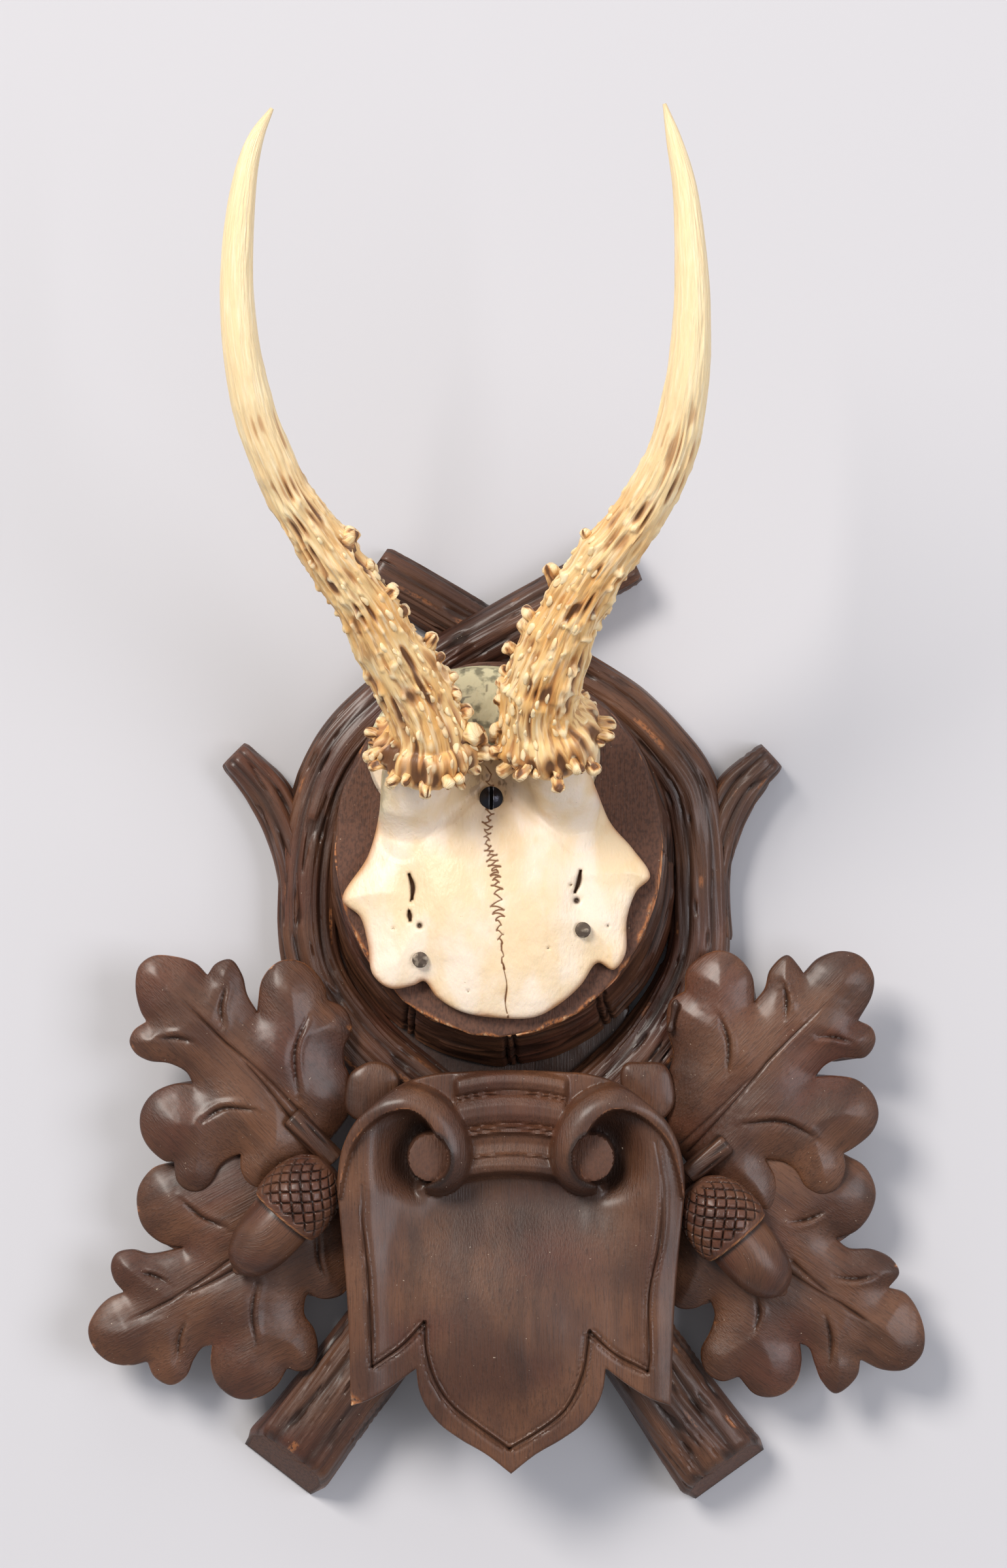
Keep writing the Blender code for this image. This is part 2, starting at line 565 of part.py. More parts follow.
def leaf(name, spec, depth, back):
    """Carved leaf: swelling lobes, a valley at the midrib, a curled rim and an undercut back."""
    centre_x, centre_height = spread(spec["centre"])
    rib = [spread(end) for end in spec["midrib"]]
    outline = leaf_outline(spec)

    def surface(x, height, reach, share):
        swell = LEAF_SWELL * math.sin(math.pi * share) * math.sin(math.pi * min(reach, 1.0) * 0.85)
        valley = LEAF_VALLEY * math.exp(-((rib_distance(x, height, rib) / VALLEY_WIDTH) ** 2))
        inner = max(0.0, 1.0 - (abs(x - SHIELD_AXIS) - SETTLE_START) / SETTLE_WIDTH)
        settle = (depth - LOWER_LEAF_DEPTH) * inner
        return depth + swell - valley - LEAF_CURL * reach**3 - settle

    rings = [[at(centre_x, centre_height, surface(centre_x, centre_height, 0.0, 0.5))]]
    for reach in (0.4, 0.75, 1.0):
        ring = []
        for dx, dh, share in outline:
            x, height = centre_x + dx * reach, centre_height + dh * reach
            ring.append(at(x, height, surface(x, height, reach, share)))
        rings.append(ring)
    rings.append([point + Vector((0.0, LEAF_RIM * MM, 0.0)) for point in rings[-1]])
    inset = [(centre_x + dx * LEAF_UNDERCUT, centre_height + dh * LEAF_UNDERCUT) for dx, dh, share in outline]
    rings.append([at(x, height, back) for x, height in inset])
    rings.append([at(centre_x, centre_height, back)])
    return loft(name, rings)


def spare_lobe(name, spec):
    """Lobe of the third leaf, a small domed plate."""
    centre, half_sizes = spread(spec[0]), spread(spec[1])
    rings = [oval(centre, *half_sizes, TURNED_SIDES, lambda height: LEAF_BACK + BACK_STEP)]
    for share, depth in ((1.0, LEAF_BACK + LEAF_RIM), (0.6, LOWER_LEAF_DEPTH + LEAF_SWELL)):
        size = [half * share for half in half_sizes]
        rings.append(oval(centre, *size, TURNED_SIDES, lambda height, d=depth: d))
    return loft(name, rings)


def acorn(name, spec):
    """Acorn in its cup, turned about the line from the cup to the nut's tip."""
    cup = at(*spread(spec["cup"]), ACORN_DEPTH)
    tip = at(*spread(spec["tip"]), ACORN_DEPTH)
    rim = CUP_LENGTH * 0.38
    foot = rim - CUP_LENGTH
    nut = rim + NUT_LENGTH
    profile = (
        (0.0, nut), (NUT_RADIUS * 0.22, nut - 0.5), (NUT_RADIUS * 0.62, nut - 3.2), (NUT_RADIUS * 0.9, nut - 9.0),
        (NUT_RADIUS, rim + 2.0), (NUT_RADIUS, rim), (CUP_RADIUS * 0.96, rim - 0.6), (CUP_RADIUS, rim - 6.0),
        (CUP_RADIUS * 0.84, foot + 6.0), (CUP_RADIUS * 0.48, foot + 1.2), (0.0, foot),
    )
    return turned(name, profile, TURNED_SIDES, cup, tip - cup)


def stalk(name, spec):
    """Cut stalk that runs under the shield."""
    start, end = (at(*spread(place), ACORN_DEPTH - STALK_SINK) for place in spec["stalk"])
    length = (end - start).length / MM
    profile = ((0.0, length), (STALK_RADIUS, length), (STALK_RADIUS * 1.15, 0.0), (0.0, 0.0))
    return turned(name, profile, 10, start, end - start)


def spray(name, upper, lower, spare, acorn_spec, parts, cutters, wood):
    """Two leaves, a third lobe, an acorn and its stalk, carved as one."""
    solid = keep(leaf(name, upper, UPPER_LEAF_DEPTH, LEAF_BACK + 2 * BACK_STEP), parts, wood)
    for piece in (
        leaf(f"{name}_lower_leaf", lower, LOWER_LEAF_DEPTH, LEAF_BACK),
        spare_lobe(f"{name}_spare_lobe", spare),
        acorn(f"{name}_acorn", acorn_spec),
        stalk(f"{name}_stalk", acorn_spec),
    ):
        combine(solid, tool(piece, cutters), "UNION")
    return solid


def shield_surface(x, height):
    """Depth of the shield's face: hollow under the scrolls, then bulging to its middle."""
    rise = math.exp(-(((height - BULGE_HEIGHT) / BULGE_SIZE[1]) ** 2)) * math.exp(-((x / BULGE_SIZE[0]) ** 2))
    drop = math.exp(-(((height - HOLLOW_HEIGHT) / HOLLOW_SIZE[1]) ** 2)) * math.exp(-((x / HOLLOW_SIZE[0]) ** 4))
    roll = math.exp(-(((abs(x) - BORDER_PLACE) / BORDER_WIDTH) ** 2))
    return SHIELD_DEPTH + SHIELD_BULGE * rise - SHIELD_HOLLOW * drop + BORDER_ROLL * roll


def on_shield(x, height, depth):
    """Point of the shield, from its axis and its top."""
    return at(SHIELD_AXIS + x, SHIELD_TOP * BOSS_HALF_HEIGHT + height, depth)


def shield_plate():
    """Curved plate of the shield with an undercut back."""
    outline = list(SHIELD_HALF) + [(-x, height) for x, height in reversed(SHIELD_HALF[1:-1])]
    middle = SHIELD_MIDDLE
    rings = [[on_shield(0.0, middle, shield_surface(0.0, middle))]]
    for reach in (0.35, 0.7, 0.94, 1.0):
        drop = SHIELD_EDGE_DROP if reach == 1.0 else 0.0
        places = [(x * reach, middle + (height - middle) * reach) for x, height in outline]
        rings.append([on_shield(*place, shield_surface(*place) - drop) for place in places])
    rings.append([point + Vector((0.0, (SHIELD_RIM - SHIELD_EDGE_DROP) * MM, 0.0)) for point in rings[-1]])
    inset = [(x * SHIELD_UNDERCUT, middle + (height - middle) * SHIELD_UNDERCUT) for x, height in outline]
    rings.append([on_shield(*place, SHIELD_BACK) for place in inset])
    return loft("shield", rings)


def tube(name, stations, sides, bumps=(), ruffle_from=1e9, ruffle_to=-1e9):
    """Round sweep along (x, height, depth, radius), with pearls and a ruffled stretch."""
    points = [at(x, height, depth) for x, height, depth, radius in stations]
    last = len(points) - 1
    across = Vector((1.0, 0.0, 0.0))
    rings = []
    for index, point in enumerate(points):
        along = (points[min(index + 1, last)] - points[max(index - 1, 0)]).normalized()
        across = (across - along * across.dot(along)).normalized()
        other = along.cross(across)
        radius = stations[index][3]
        ring = []
        for side in range(sides):
            turn = 2 * math.pi * side / sides
            outward = across * math.cos(turn) + other * math.sin(turn)
            reach = radius
            if ruffle_from <= index <= ruffle_to:
                reach *= 1 + CORONET_RUFFLE * (1 if (side + index) % 2 else -1)
            place = point + outward * reach * MM
            for x, height, depth, size in bumps:
                near = (place - at(x, height, depth)).length / MM
                reach += size * math.exp(-((near / KNOB_SIZE) ** 2))
            ring.append(point + outward * reach * MM)
        rings.append(ring)
    return loft(name, rings, rounded=True)


def scroll(name, side):
    """Rolled band of the shield's head and the eye inside it."""
    top = SHIELD_TOP * BOSS_HALF_HEIGHT
    start = SHIELD_DEPTH - SCROLL_SINK
    path = [(SHIELD_AXIS - side * x, top + h, start + lift, SCROLL_RADIUS) for x, h, lift in LEFT_SCROLL]
    return tube(name, smooth(path, 2), SCROLL_SIDES)


def eye(name, side):
    """Round end of the roll, seen inside the scroll."""
    length = SHIELD_DEPTH + EYE_RISE - (SHIELD_BACK + EYE_SINK)
    profile = (
        (0.0, length), (EYE_RADIUS - EYE_ROUND, length), (EYE_RADIUS, length - EYE_ROUND), (EYE_RADIUS, 0.0),
        (0.0, 0.0),
    )
    place = on_shield(side * EYE_OFFSET, EYE_HEIGHT, SHIELD_BACK + EYE_SINK)
    return turned(name, profile, TURNED_SIDES, place, Vector((0.0, -1.0, 0.0)))


def shield_head():
    """Mouldings between the two scrolls, lightly arched."""
    rings = []
    for x in (-1.0, -0.5, 0.0, 0.5, 1.0):
        sag = -HEAD_ARCH * x * x
        side = x * HEAD_HALF_WIDTH
        ring = [on_shield(side, h + sag, SHIELD_DEPTH + lift) for h, lift in HEAD_PROFILE]
        ring.append(on_shield(side, HEAD_PROFILE[-1][0] + sag, SHIELD_BACK + HEAD_SINK))
        ring.append(on_shield(side, HEAD_PROFILE[0][0] + sag, SHIELD_BACK + HEAD_SINK))
        rings.append(ring)
    return loft("shield_head", rings)


def shield(parts, cutters, wood):
    """Scroll-topped shield in one piece."""
    solid = keep(shield_plate(), parts, wood)
    for piece in (
        shield_head(),
        scroll("left_scroll", 1),
        scroll("right_scroll", -1),
        eye("left_eye", -1),
        eye("right_eye", 1),
    ):
        combine(solid, tool(piece, cutters), "UNION")
    return solid


def bone_rise(reach):
    """Thickness of the skull plate, from its middle (0) to its edge (1)."""
    return BONE_RIM + (BONE_DOME - BONE_RIM) * (1 - reach**2.4)


def dome(name, outline, centre, levels):
    """Domed plate that lies on the boss's face: levels are (reach, thickness), from the edge inwards."""
    rings = []
    for reach, rise in ((1.0, 0.0), *levels):
        ring = []
        for x, height in outline:
            place = (centre[0] + (x - centre[0]) * reach, centre[1] + (height - centre[1]) * reach)
            ring.append(at(*place, face_depth(place[1]) + CLEARANCE + rise))
        rings.append(ring)
    return loft(name, rings)


def skull_plate():
    """Frontal bone, lying on the boss."""
    levels = [(reach, bone_rise(reach)) for reach in (1.0, 0.85, 0.6, 0.3)]
    return dome("skull_with_antlers", BONE_OUTLINE, BONE_CENTRE, levels)


def braincase():
    """Rounded back of the skull between and behind the antlers."""
    outline = []
    for step in range(BRAINCASE_SIDES):
        turn = 2 * math.pi * step / BRAINCASE_SIDES
        x = BRAINCASE_CENTRE[0] + BRAINCASE_HALF_WIDTH * math.cos(turn)
        outline.append((x, BRAINCASE_CENTRE[1] + BRAINCASE_HALF_HEIGHT * math.sin(turn)))
    swell = BRAINCASE_RISE - BRAINCASE_RIM
    levels = [(reach, BRAINCASE_RIM + swell * math.sqrt(1 - reach**2)) for reach in (0.98, 0.8, 0.5)]
    return dome("braincase", outline, BRAINCASE_CENTRE, levels)


def antler(name, pedicle, beam, spike, knobs):
    """Pedicle, ruffled coronet, pearled beam and smooth spike."""
    stations = list(pedicle) + smooth(beam, 2) + list(spike)
    return tube(name, stations, ANTLER_SIDES, knobs, 3, 5)


def seat_depth(place):
    """Depth at which a fixing's head sits on the skull plate."""
    x, height = place
    spans = []
    for (x0, h0), (x1, h1) in zip(BONE_OUTLINE, BONE_OUTLINE[1:] + BONE_OUTLINE[:1]):
        px, ph = x - BONE_CENTRE[0], height - BONE_CENTRE[1]
        edge = (x1 - x0, h1 - h0)
        start = (x0 - BONE_CENTRE[0], h0 - BONE_CENTRE[1])
        cross = px * edge[1] - ph * edge[0]
        if abs(cross) > 1e-9:
            ray = (start[0] * edge[1] - start[1] * edge[0]) / cross
            share = (start[0] * ph - start[1] * px) / cross
            if ray > 0 and 0 <= share <= 1:
                spans.append(1 / ray)
    return face_depth(height) + CLEARANCE + bone_rise(max(spans)) - 0.4


def pin_profile(head, head_height, shank, length, domed):
    """Profile of a headed pin whose head stands on height 0."""
    if domed:
        crown = ((head * 0.45, head_height * 0.88), (head * 0.82, head_height * 0.5), (head, head_height * 0.35))
    else:
        crown = ((head * 0.9, head_height), (head, head_height * 0.8))
    return ((0.0, head_height), *crown, (head, 0.0), (shank, 0.0), (shank, -length), (0.0, -length))


def pin_room(head, shank, length):
    """Profile of the room a pin needs: its shank, its head and the way out to the front."""
    return (
        (0.0, PIN_WAY_OUT), (head + CLEARANCE, PIN_WAY_OUT), (head + CLEARANCE, -CLEARANCE),
        (shank + CLEARANCE, -CLEARANCE), (shank + CLEARANCE, -length - CLEARANCE), (0.0, -length - CLEARANCE),
    )


def fixing(name, place, sizes, domed, parts, cutters, finish, pierced):
    """Headed pin through the skull plate into the boss, and the holes for it."""
    head, head_height, shank, grip = sizes
    seat = seat_depth(place)
    length = seat - face_depth(place[1]) + grip
    forward = Vector((0.0, -1.0, 0.0))
    start = at(*place, seat)
    profile = pin_profile(head, head_height, shank, length, domed)
    solid = keep(turned(name, profile, PIN_SIDES, start, forward), parts, finish)
    room = tool(turned(f"{name}_room", pin_room(head, shank, length), PIN_SIDES, start, forward), cutters)
    for piece in pierced:
        combine(piece, room, "DIFFERENCE")
    return solid


def slot(target, place, cutters):
    """Upright slot across the screw's head."""
    top = seat_depth(place) + SCREW_HEAD_HEIGHT
    corners = ((-0.5, -1.0), (0.5, -1.0), (0.5, 1.0), (-0.5, 1.0))
    rings = []
    for depth in (top - SLOT_DEPTH, top + SLOT_DEPTH):
        wide, tall = SLOT_WIDTH, SCREW_HEAD_RADIUS * 1.5
        rings.append([at(place[0] + x * wide, place[1] + h * tall, depth) for x, h in corners])
    combine(target, tool(loft("screw_slot", rings), cutters), "DIFFERENCE")


def backboard(parts, cutters, wood):
    """Wreath of two crossing branches, their stubs and the log boss, carved as one."""
    solid = keep(branch("carved_backboard", LEFT_LIMB, BACK_STOCK - 0.5, RIGHT_CUT_SLANT), parts, wood)
    for piece in (
        branch("right_limb", RIGHT_LIMB, BACK_STOCK - 1.0, LEFT_CUT_SLANT),
        branch("left_stub", LEFT_STUB, BACK_STOCK - 1.5, STUB_CUT_SLANT),
        branch("right_stub", RIGHT_STUB, BACK_STOCK - 1.5, STUB_CUT_SLANT),
        web(),
        boss(),
    ):
        combine(solid, tool(piece, cutters), "UNION")
    combine(solid, tool(wall_side(), cutters), "DIFFERENCE")
    hole = ((0.0, LIMB_DEPTH * 2), (PEEPHOLE_RADIUS, LIMB_DEPTH * 2), (PEEPHOLE_RADIUS, -2.0), (0.0, -2.0))
    peephole = turned("peephole", hole, 8, at(*spread(PEEPHOLE_PLACE), 0.0), Vector((0.0, -1.0, 0.0)))
    combine(solid, tool(peephole, cutters), "DIFFERENCE")
    return solid


def skull(parts, cutters, bone):
    """Skull plate with both antlers, one natural piece."""
    solid = keep(skull_plate(), parts, bone)
    for piece in (
        braincase(),
        antler("left_antler", LEFT_PEDICLE, LEFT_BEAM, LEFT_SPIKE, LEFT_KNOBS),
        antler("right_antler", RIGHT_PEDICLE, RIGHT_BEAM, RIGHT_SPIKE, RIGHT_KNOBS),
    ):
        combine(solid, tool(piece, cutters), "UNION")
    return solid


def build():
    """Builds the whole plaque."""
    clear_scene()
    parts = new_collection("antler_plaque")
    cutters = new_collection("cutters")
    wood = material("stained_wood", (0.07, 0.035, 0.02), 0.4)
    bone = material("bone", (0.78, 0.62, 0.36), 0.5)
    steel = material("darkened_steel", (0.06, 0.055, 0.055), 0.35, 0.9)
    worn_steel = material("worn_steel", (0.2, 0.17, 0.15), 0.6, 0.8)

    board = backboard(parts, cutters, wood)
    trophy = skull(parts, cutters, bone)
    spray("left_oak_spray", UPPER_LEFT_LEAF, LOWER_LEFT_LEAF, LEFT_SPARE_LOBE, LEFT_ACORN, parts, cutters, wood)
    spray("right_oak_spray", UPPER_RIGHT_LEAF, LOWER_RIGHT_LEAF, RIGHT_SPARE_LOBE, RIGHT_ACORN, parts, cutters, wood)
    shield(parts, cutters, wood)

    pierced = (board, trophy)
    screw_sizes = (SCREW_HEAD_RADIUS, SCREW_HEAD_HEIGHT, SCREW_RADIUS, SCREW_GRIP)
    nail_sizes = (NAIL_HEAD_RADIUS, NAIL_HEAD_HEIGHT, NAIL_RADIUS, NAIL_GRIP)
    screw = fixing("skull_screw", SCREW_PLACE, screw_sizes, True, parts, cutters, steel, pierced)
    slot(screw, SCREW_PLACE, cutters)
    fixing("left_nail", LEFT_NAIL_PLACE, nail_sizes, False, parts, cutters, worn_steel, pierced)
    fixing("right_nail", RIGHT_NAIL_PLACE, nail_sizes, False, parts, cutters, worn_steel, pierced)


build()
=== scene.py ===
"""Antler mounting plaque, dressed for its portrait.

A dark carved wooden trophy board: two crossing branches, a cut-log boss, oak leaves with acorns and a scroll-topped
shield. It carries a roe buck's skull plate with two spike antlers, held by a screw and two nails. Sizes here are in
millimetres: x runs to the right, height up, and depth out of the wall.
"""

import logging
import math
from collections.abc import Callable, Mapping, Sequence
from dataclasses import dataclass, field
from enum import Enum
from itertools import product
from typing import Any

import bmesh
import bpy
import numpy as np
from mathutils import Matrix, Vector
from mathutils.geometry import delaunay_2d_cdt


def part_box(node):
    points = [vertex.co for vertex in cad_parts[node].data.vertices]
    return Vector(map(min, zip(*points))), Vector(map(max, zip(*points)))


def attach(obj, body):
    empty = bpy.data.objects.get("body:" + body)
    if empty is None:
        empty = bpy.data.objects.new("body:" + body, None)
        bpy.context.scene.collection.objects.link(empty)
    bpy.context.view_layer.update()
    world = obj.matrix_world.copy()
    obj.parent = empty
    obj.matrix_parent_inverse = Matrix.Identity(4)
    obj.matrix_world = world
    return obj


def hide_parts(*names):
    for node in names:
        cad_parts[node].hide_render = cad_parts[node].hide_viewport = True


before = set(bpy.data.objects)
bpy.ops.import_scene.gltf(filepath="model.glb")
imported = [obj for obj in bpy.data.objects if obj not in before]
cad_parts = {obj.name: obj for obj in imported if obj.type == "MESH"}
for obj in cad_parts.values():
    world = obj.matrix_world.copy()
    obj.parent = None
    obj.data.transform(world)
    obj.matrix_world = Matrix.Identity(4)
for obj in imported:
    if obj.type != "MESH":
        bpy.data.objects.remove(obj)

Array = np.ndarray
Pair = tuple[float, float]
Field = Callable[[Array, Array], tuple[Array, dict[str, Array]]]

MM = 0.001
BACK_STEP = 0.15  # sets the backs of crossing branches apart, so that no two share a plane
ACORN_BACK = 18.2  # keeps the acorns' backs inside the leaves
LOG = logging.getLogger("plaque")


# Colour and node helpers


def linear(hex_colour: str) -> tuple[float, float, float, float]:
    """Turns an sRGB hex colour into the linear colour that shaders take.

    Args:
        hex_colour: Six hex digits, with or without a leading hash.

    Returns:
        Red, green, blue and an alpha of one.
    """
    digits = hex_colour.lstrip("#")
    shares = [int(digits[at : at + 2], 16) / 255 for at in (0, 2, 4)]
    red, green, blue = (s / 12.92 if s <= 0.04045 else ((s + 0.055) / 1.055) ** 2.4 for s in shares)
    return red, green, blue, 1.0


def add_node(
    tree: bpy.types.NodeTree,
    kind: str,
    settings: Mapping[str, Any] | None = None,
    inputs: Mapping[int | str, Any] | None = None,
    out: int | str = 0,
) -> bpy.types.NodeSocket:
    """Adds a node with its settings and links.

    Args:
        tree: The tree that gets the node.
        kind: The node's type name.
        settings: Properties of the node.
        inputs: Values or other nodes' output sockets, by input name or number.
        out: The output that is handed back.

    Returns:
        The chosen output socket.
    """
    node = tree.nodes.new(kind)
    for name, value in (settings or {}).items():
        setattr(node, name, value)
    for key, value in (inputs or {}).items():
        if isinstance(value, bpy.types.NodeSocket):
            tree.links.new(value, node.inputs[key])
        else:
            node.inputs[key].default_value = value
    return node.outputs[out]


# Curves, distances and noise


def noise(points: Array, size: float | Sequence[float], seed: float = 0.0) -> Array:
    """Smooth random field.

    Args:
        points: Rows of three coordinates.
        size: Width of a feature, in the points' unit, or one width for each axis.
        seed: Picks another field of the same kind.

    Returns:
        Values from -1 to 1.
    """
    place = points / np.asarray(size, float)
    cell = np.floor(place)
    share = place - cell
    share = share * share * (3 - 2 * share)
    total = np.zeros(len(points))
    for corner in product((0, 1), repeat=3):
        key = (cell + corner) @ np.array([127.1, 311.7, 74.7]) + seed * 17.31
        value = np.sin(key) * 43758.5453
        value = 2 * (value - np.floor(value)) - 1
        total += value * np.prod(np.where(np.array(corner) == 1, share, 1 - share), axis=1)
    return total


def lift(points: Array) -> Array:
    """Adds a third coordinate of zero to rows of two."""
    return np.column_stack([points, np.zeros(len(points))])


def step(low: float, high: float, value: Array) -> Array:
    """Smooth step from 0 at low to 1 at high."""
    share = np.clip((value - low) / (high - low), 0, 1)
    return share * share * (3 - 2 * share)


def bell(value: Array, width: float | Array) -> Array:
    """Bell curve of a half width, 1 in its middle."""
    return np.exp(-((value / width) ** 2))


def curve(points: Sequence[Sequence[float]] | Array, steps: int = 6, closed: bool = False) -> Array:
    """Centripetal Catmull-Rom curve.

    Args:
        points: Rows that the curve goes through; distances are taken over the first two columns.
        steps: Points made between two rows.
        closed: Whether the last row leads back to the first.

    Returns:
        Rows along the curve.
    """
    rows = np.asarray(points, float)
    if closed:
        rows = np.vstack([rows[-1], rows, rows[0], rows[1]])
    else:
        rows = np.vstack([2 * rows[0] - rows[1], rows, 2 * rows[-1] - rows[-2]])
    made = []
    for a, b, c, d in zip(rows, rows[1:], rows[2:], rows[3:]):
        gaps = [max(np.linalg.norm(q[:2] - p[:2]), 1e-3) ** 0.5 for p, q in ((a, b), (b, c), (c, d))]
        t0, t1 = 0.0, gaps[0]
        t2, t3 = t1 + gaps[1], t1 + gaps[1] + gaps[2]
        t = np.linspace(t1, t2, steps, endpoint=False)[:, None]
        ab = (t1 - t) / (t1 - t0) * a + (t - t0) / (t1 - t0) * b
        bc = (t2 - t) / (t2 - t1) * b + (t - t1) / (t2 - t1) * c
        cd = (t3 - t) / (t3 - t2) * c + (t - t2) / (t3 - t2) * d
        abc = (t2 - t) / (t2 - t0) * ab + (t - t0) / (t2 - t0) * bc
        bcd = (t3 - t) / (t3 - t1) * bc + (t - t1) / (t3 - t1) * cd
        made.append((t2 - t) / (t2 - t1) * abc + (t - t1) / (t2 - t1) * bcd)
    if not closed:
        made.append(rows[-2][None])
    return np.vstack(made)


def resample(path: Array, spacing: float, closed: bool = False) -> Array:
    """Walks along a path in even steps.

    Args:
        path: Rows along the path; its length is taken over the first two columns.
        spacing: Length of a step.
        closed: Whether the last row leads back to the first.

    Returns:
        Rows at even distances.
    """
    rows = np.vstack([path, path[:1]]) if closed else path
    run = np.concatenate([[0], np.cumsum(np.linalg.norm(np.diff(rows[:, :2], axis=0), axis=1))])
    count = max(3, round(run[-1] / spacing))
    places = np.linspace(0, run[-1], count, endpoint=not closed)
    return np.column_stack([np.interp(places, run, rows[:, column]) for column in range(rows.shape[1])])


def path_distance(points: Array, path: Array, closed: bool = False) -> tuple[Array, Array, Array]:
    """Distance from points to a path in the plane.

    Args:
        points: Rows of two coordinates.
        path: Rows of two coordinates along the path.
        closed: Whether the last row leads back to the first.

    Returns:
        The distance, the share of the way along the path, and the side of it (1 is left).
    """
    start = path[:, :2]
    end = np.roll(start, -1, axis=0)
    if not closed:
        start, end = start[:-1], end[:-1]
    way = end - start
    length = np.maximum(np.linalg.norm(way, axis=1), 1e-9)
    run = np.concatenate([[0], np.cumsum(length)])
    gap, share, side = (np.empty(len(points)) for _ in range(3))
    for first in range(0, len(points), 3000):
        some = slice(first, first + 3000)
        off = points[some, None, :] - start[None]
        t = np.clip((off * way).sum(2) / length**2, 0, 1)
        rest = off - t[..., None] * way
        square = (rest**2).sum(2)
        best = square.argmin(1)
        row = np.arange(len(best))
        gap[some] = np.sqrt(square[row, best])
        share[some] = (run[best] + t[row, best] * length[best]) / run[-1]
        turn = way[best, 0] * off[row, best, 1] - way[best, 1] * off[row, best, 0]
        side[some] = np.where(turn >= 0, 1, -1)
    return gap, share, side


def inside(points: Array, outline: Array) -> Array:
    """Says for each point of the plane whether it lies inside a closed outline."""
    start, end = outline, np.roll(outline, -1, axis=0)
    found = np.zeros(len(points), bool)
    for (x0, h0), (x1, h1) in zip(start, end):
        if h0 == h1:
            continue
        crosses = (points[:, 1] >= min(h0, h1)) & (points[:, 1] < max(h0, h1))
        found ^= crosses & (points[:, 0] < x0 + (points[:, 1] - h0) * (x1 - x0) / (h1 - h0))
    return found


# Meshes in the making


@dataclass
class Surface:
    """Mesh in the making.

    Attributes:
        points: Rows of x, height and depth in millimetres.
        faces: Point numbers of each face.
        grain: Rows of millimetres across, along and out of the material's grain.
        values: Named numbers for each point, which the finishes read.
    """

    points: Array
    faces: list[Sequence[int]]
    grain: Array
    values: dict[str, Array] = field(default_factory=dict)


def joined(parts: Sequence[Surface]) -> Surface:
    """Joins surfaces into one.

    Args:
        parts: Closed surfaces.

    Returns:
        One surface that holds them all, with every value on every point.
    """
    names = sorted({name for part in parts for name in part.values})
    faces: list[Sequence[int]] = []
    offset = 0
    for part in parts:
        faces += [[corner + offset for corner in face] for face in part.faces]
        offset += len(part.points)
    blank = [{name: np.zeros(len(part.points)) for name in names} | part.values for part in parts]
    values = {name: np.concatenate([numbers[name] for numbers in blank]) for name in names}
    return Surface(np.vstack([p.points for p in parts]), faces, np.vstack([p.grain for p in parts]), values)


def grid(points: Array, columns: int, grain: Array, values: dict[str, Array]) -> Surface:
    """Closes rows of points into a tube with a point in the middle of each end.

    Args:
        points: Rows of x, height and depth, row after row round the tube.
        columns: Points in a row.
        grain: Grain coordinates of the points.
        values: Named numbers of the points.

    Returns:
        The closed surface.
    """
    rows = len(points) // columns
    row, column = np.meshgrid(np.arange(rows - 1), np.arange(columns), indexing="ij")
    after = (column + 1) % columns
    corners = (row * columns + column, row * columns + after, (row + 1) * columns + after, (row + 1) * columns + column)
    faces: list[Sequence[int]] = np.stack(corners, axis=-1).reshape(-1, 4).tolist()
    for middle, first in ((rows * columns, 0), (rows * columns + 1, (rows - 1) * columns)):
        faces += [[middle, first + i, first + (i + 1) % columns] for i in range(columns)]
    ends = (slice(0, columns), slice(-columns, None))
    points = np.vstack([points, *(points[end].mean(0)[None] for end in ends)])
    grain = np.vstack([grain, *(grain[end].mean(0)[None] for end in ends)])
    values = {name: np.append(numbers, [numbers[end].mean() for end in ends]) for name, numbers in values.items()}
    return Surface(points, faces, grain, values)


def make_object(name: str, surface: Surface, finish: bpy.types.Material, crease: float = 50.0) -> bpy.types.Object:
    """Makes a piece of the scene.

    Args:
        name: The piece's name.
        surface: Its mesh.
        finish: Its material.
        crease: Angle in degrees above which an edge stays sharp.

    Returns:
        The object, with its place in its mesh.
    """
    x, height, depth = surface.points.T
    depth = np.maximum(depth, 0.0)
    mesh = bpy.data.meshes.new(name)
    mesh.from_pydata((np.column_stack([x, -depth, height]) * MM).tolist(), [], surface.faces)
    shape = bmesh.new()
    shape.from_mesh(mesh)
    bmesh.ops.recalc_face_normals(shape, faces=shape.faces)
    shape.to_mesh(mesh)
    shape.free()
    mesh.polygons.foreach_set("use_smooth", np.ones(len(mesh.polygons), bool))
    mesh.set_sharp_from_angle(angle=math.radians(crease))
    grain = mesh.attributes.new("grain", "FLOAT_VECTOR", "POINT")
    grain.data.foreach_set("vector", surface.grain.astype(np.float32).ravel())
    for key, numbers in surface.values.items():
        mesh.attributes.new(key, "FLOAT", "POINT").data.foreach_set("value", numbers.astype(np.float32))
    mesh.materials.append(finish)
    mesh.update()
    made = bpy.data.objects.new(name, mesh)
    bpy.context.scene.collection.objects.link(made)
    LOG.info("%s: %d faces", name, len(mesh.polygons))
    return made


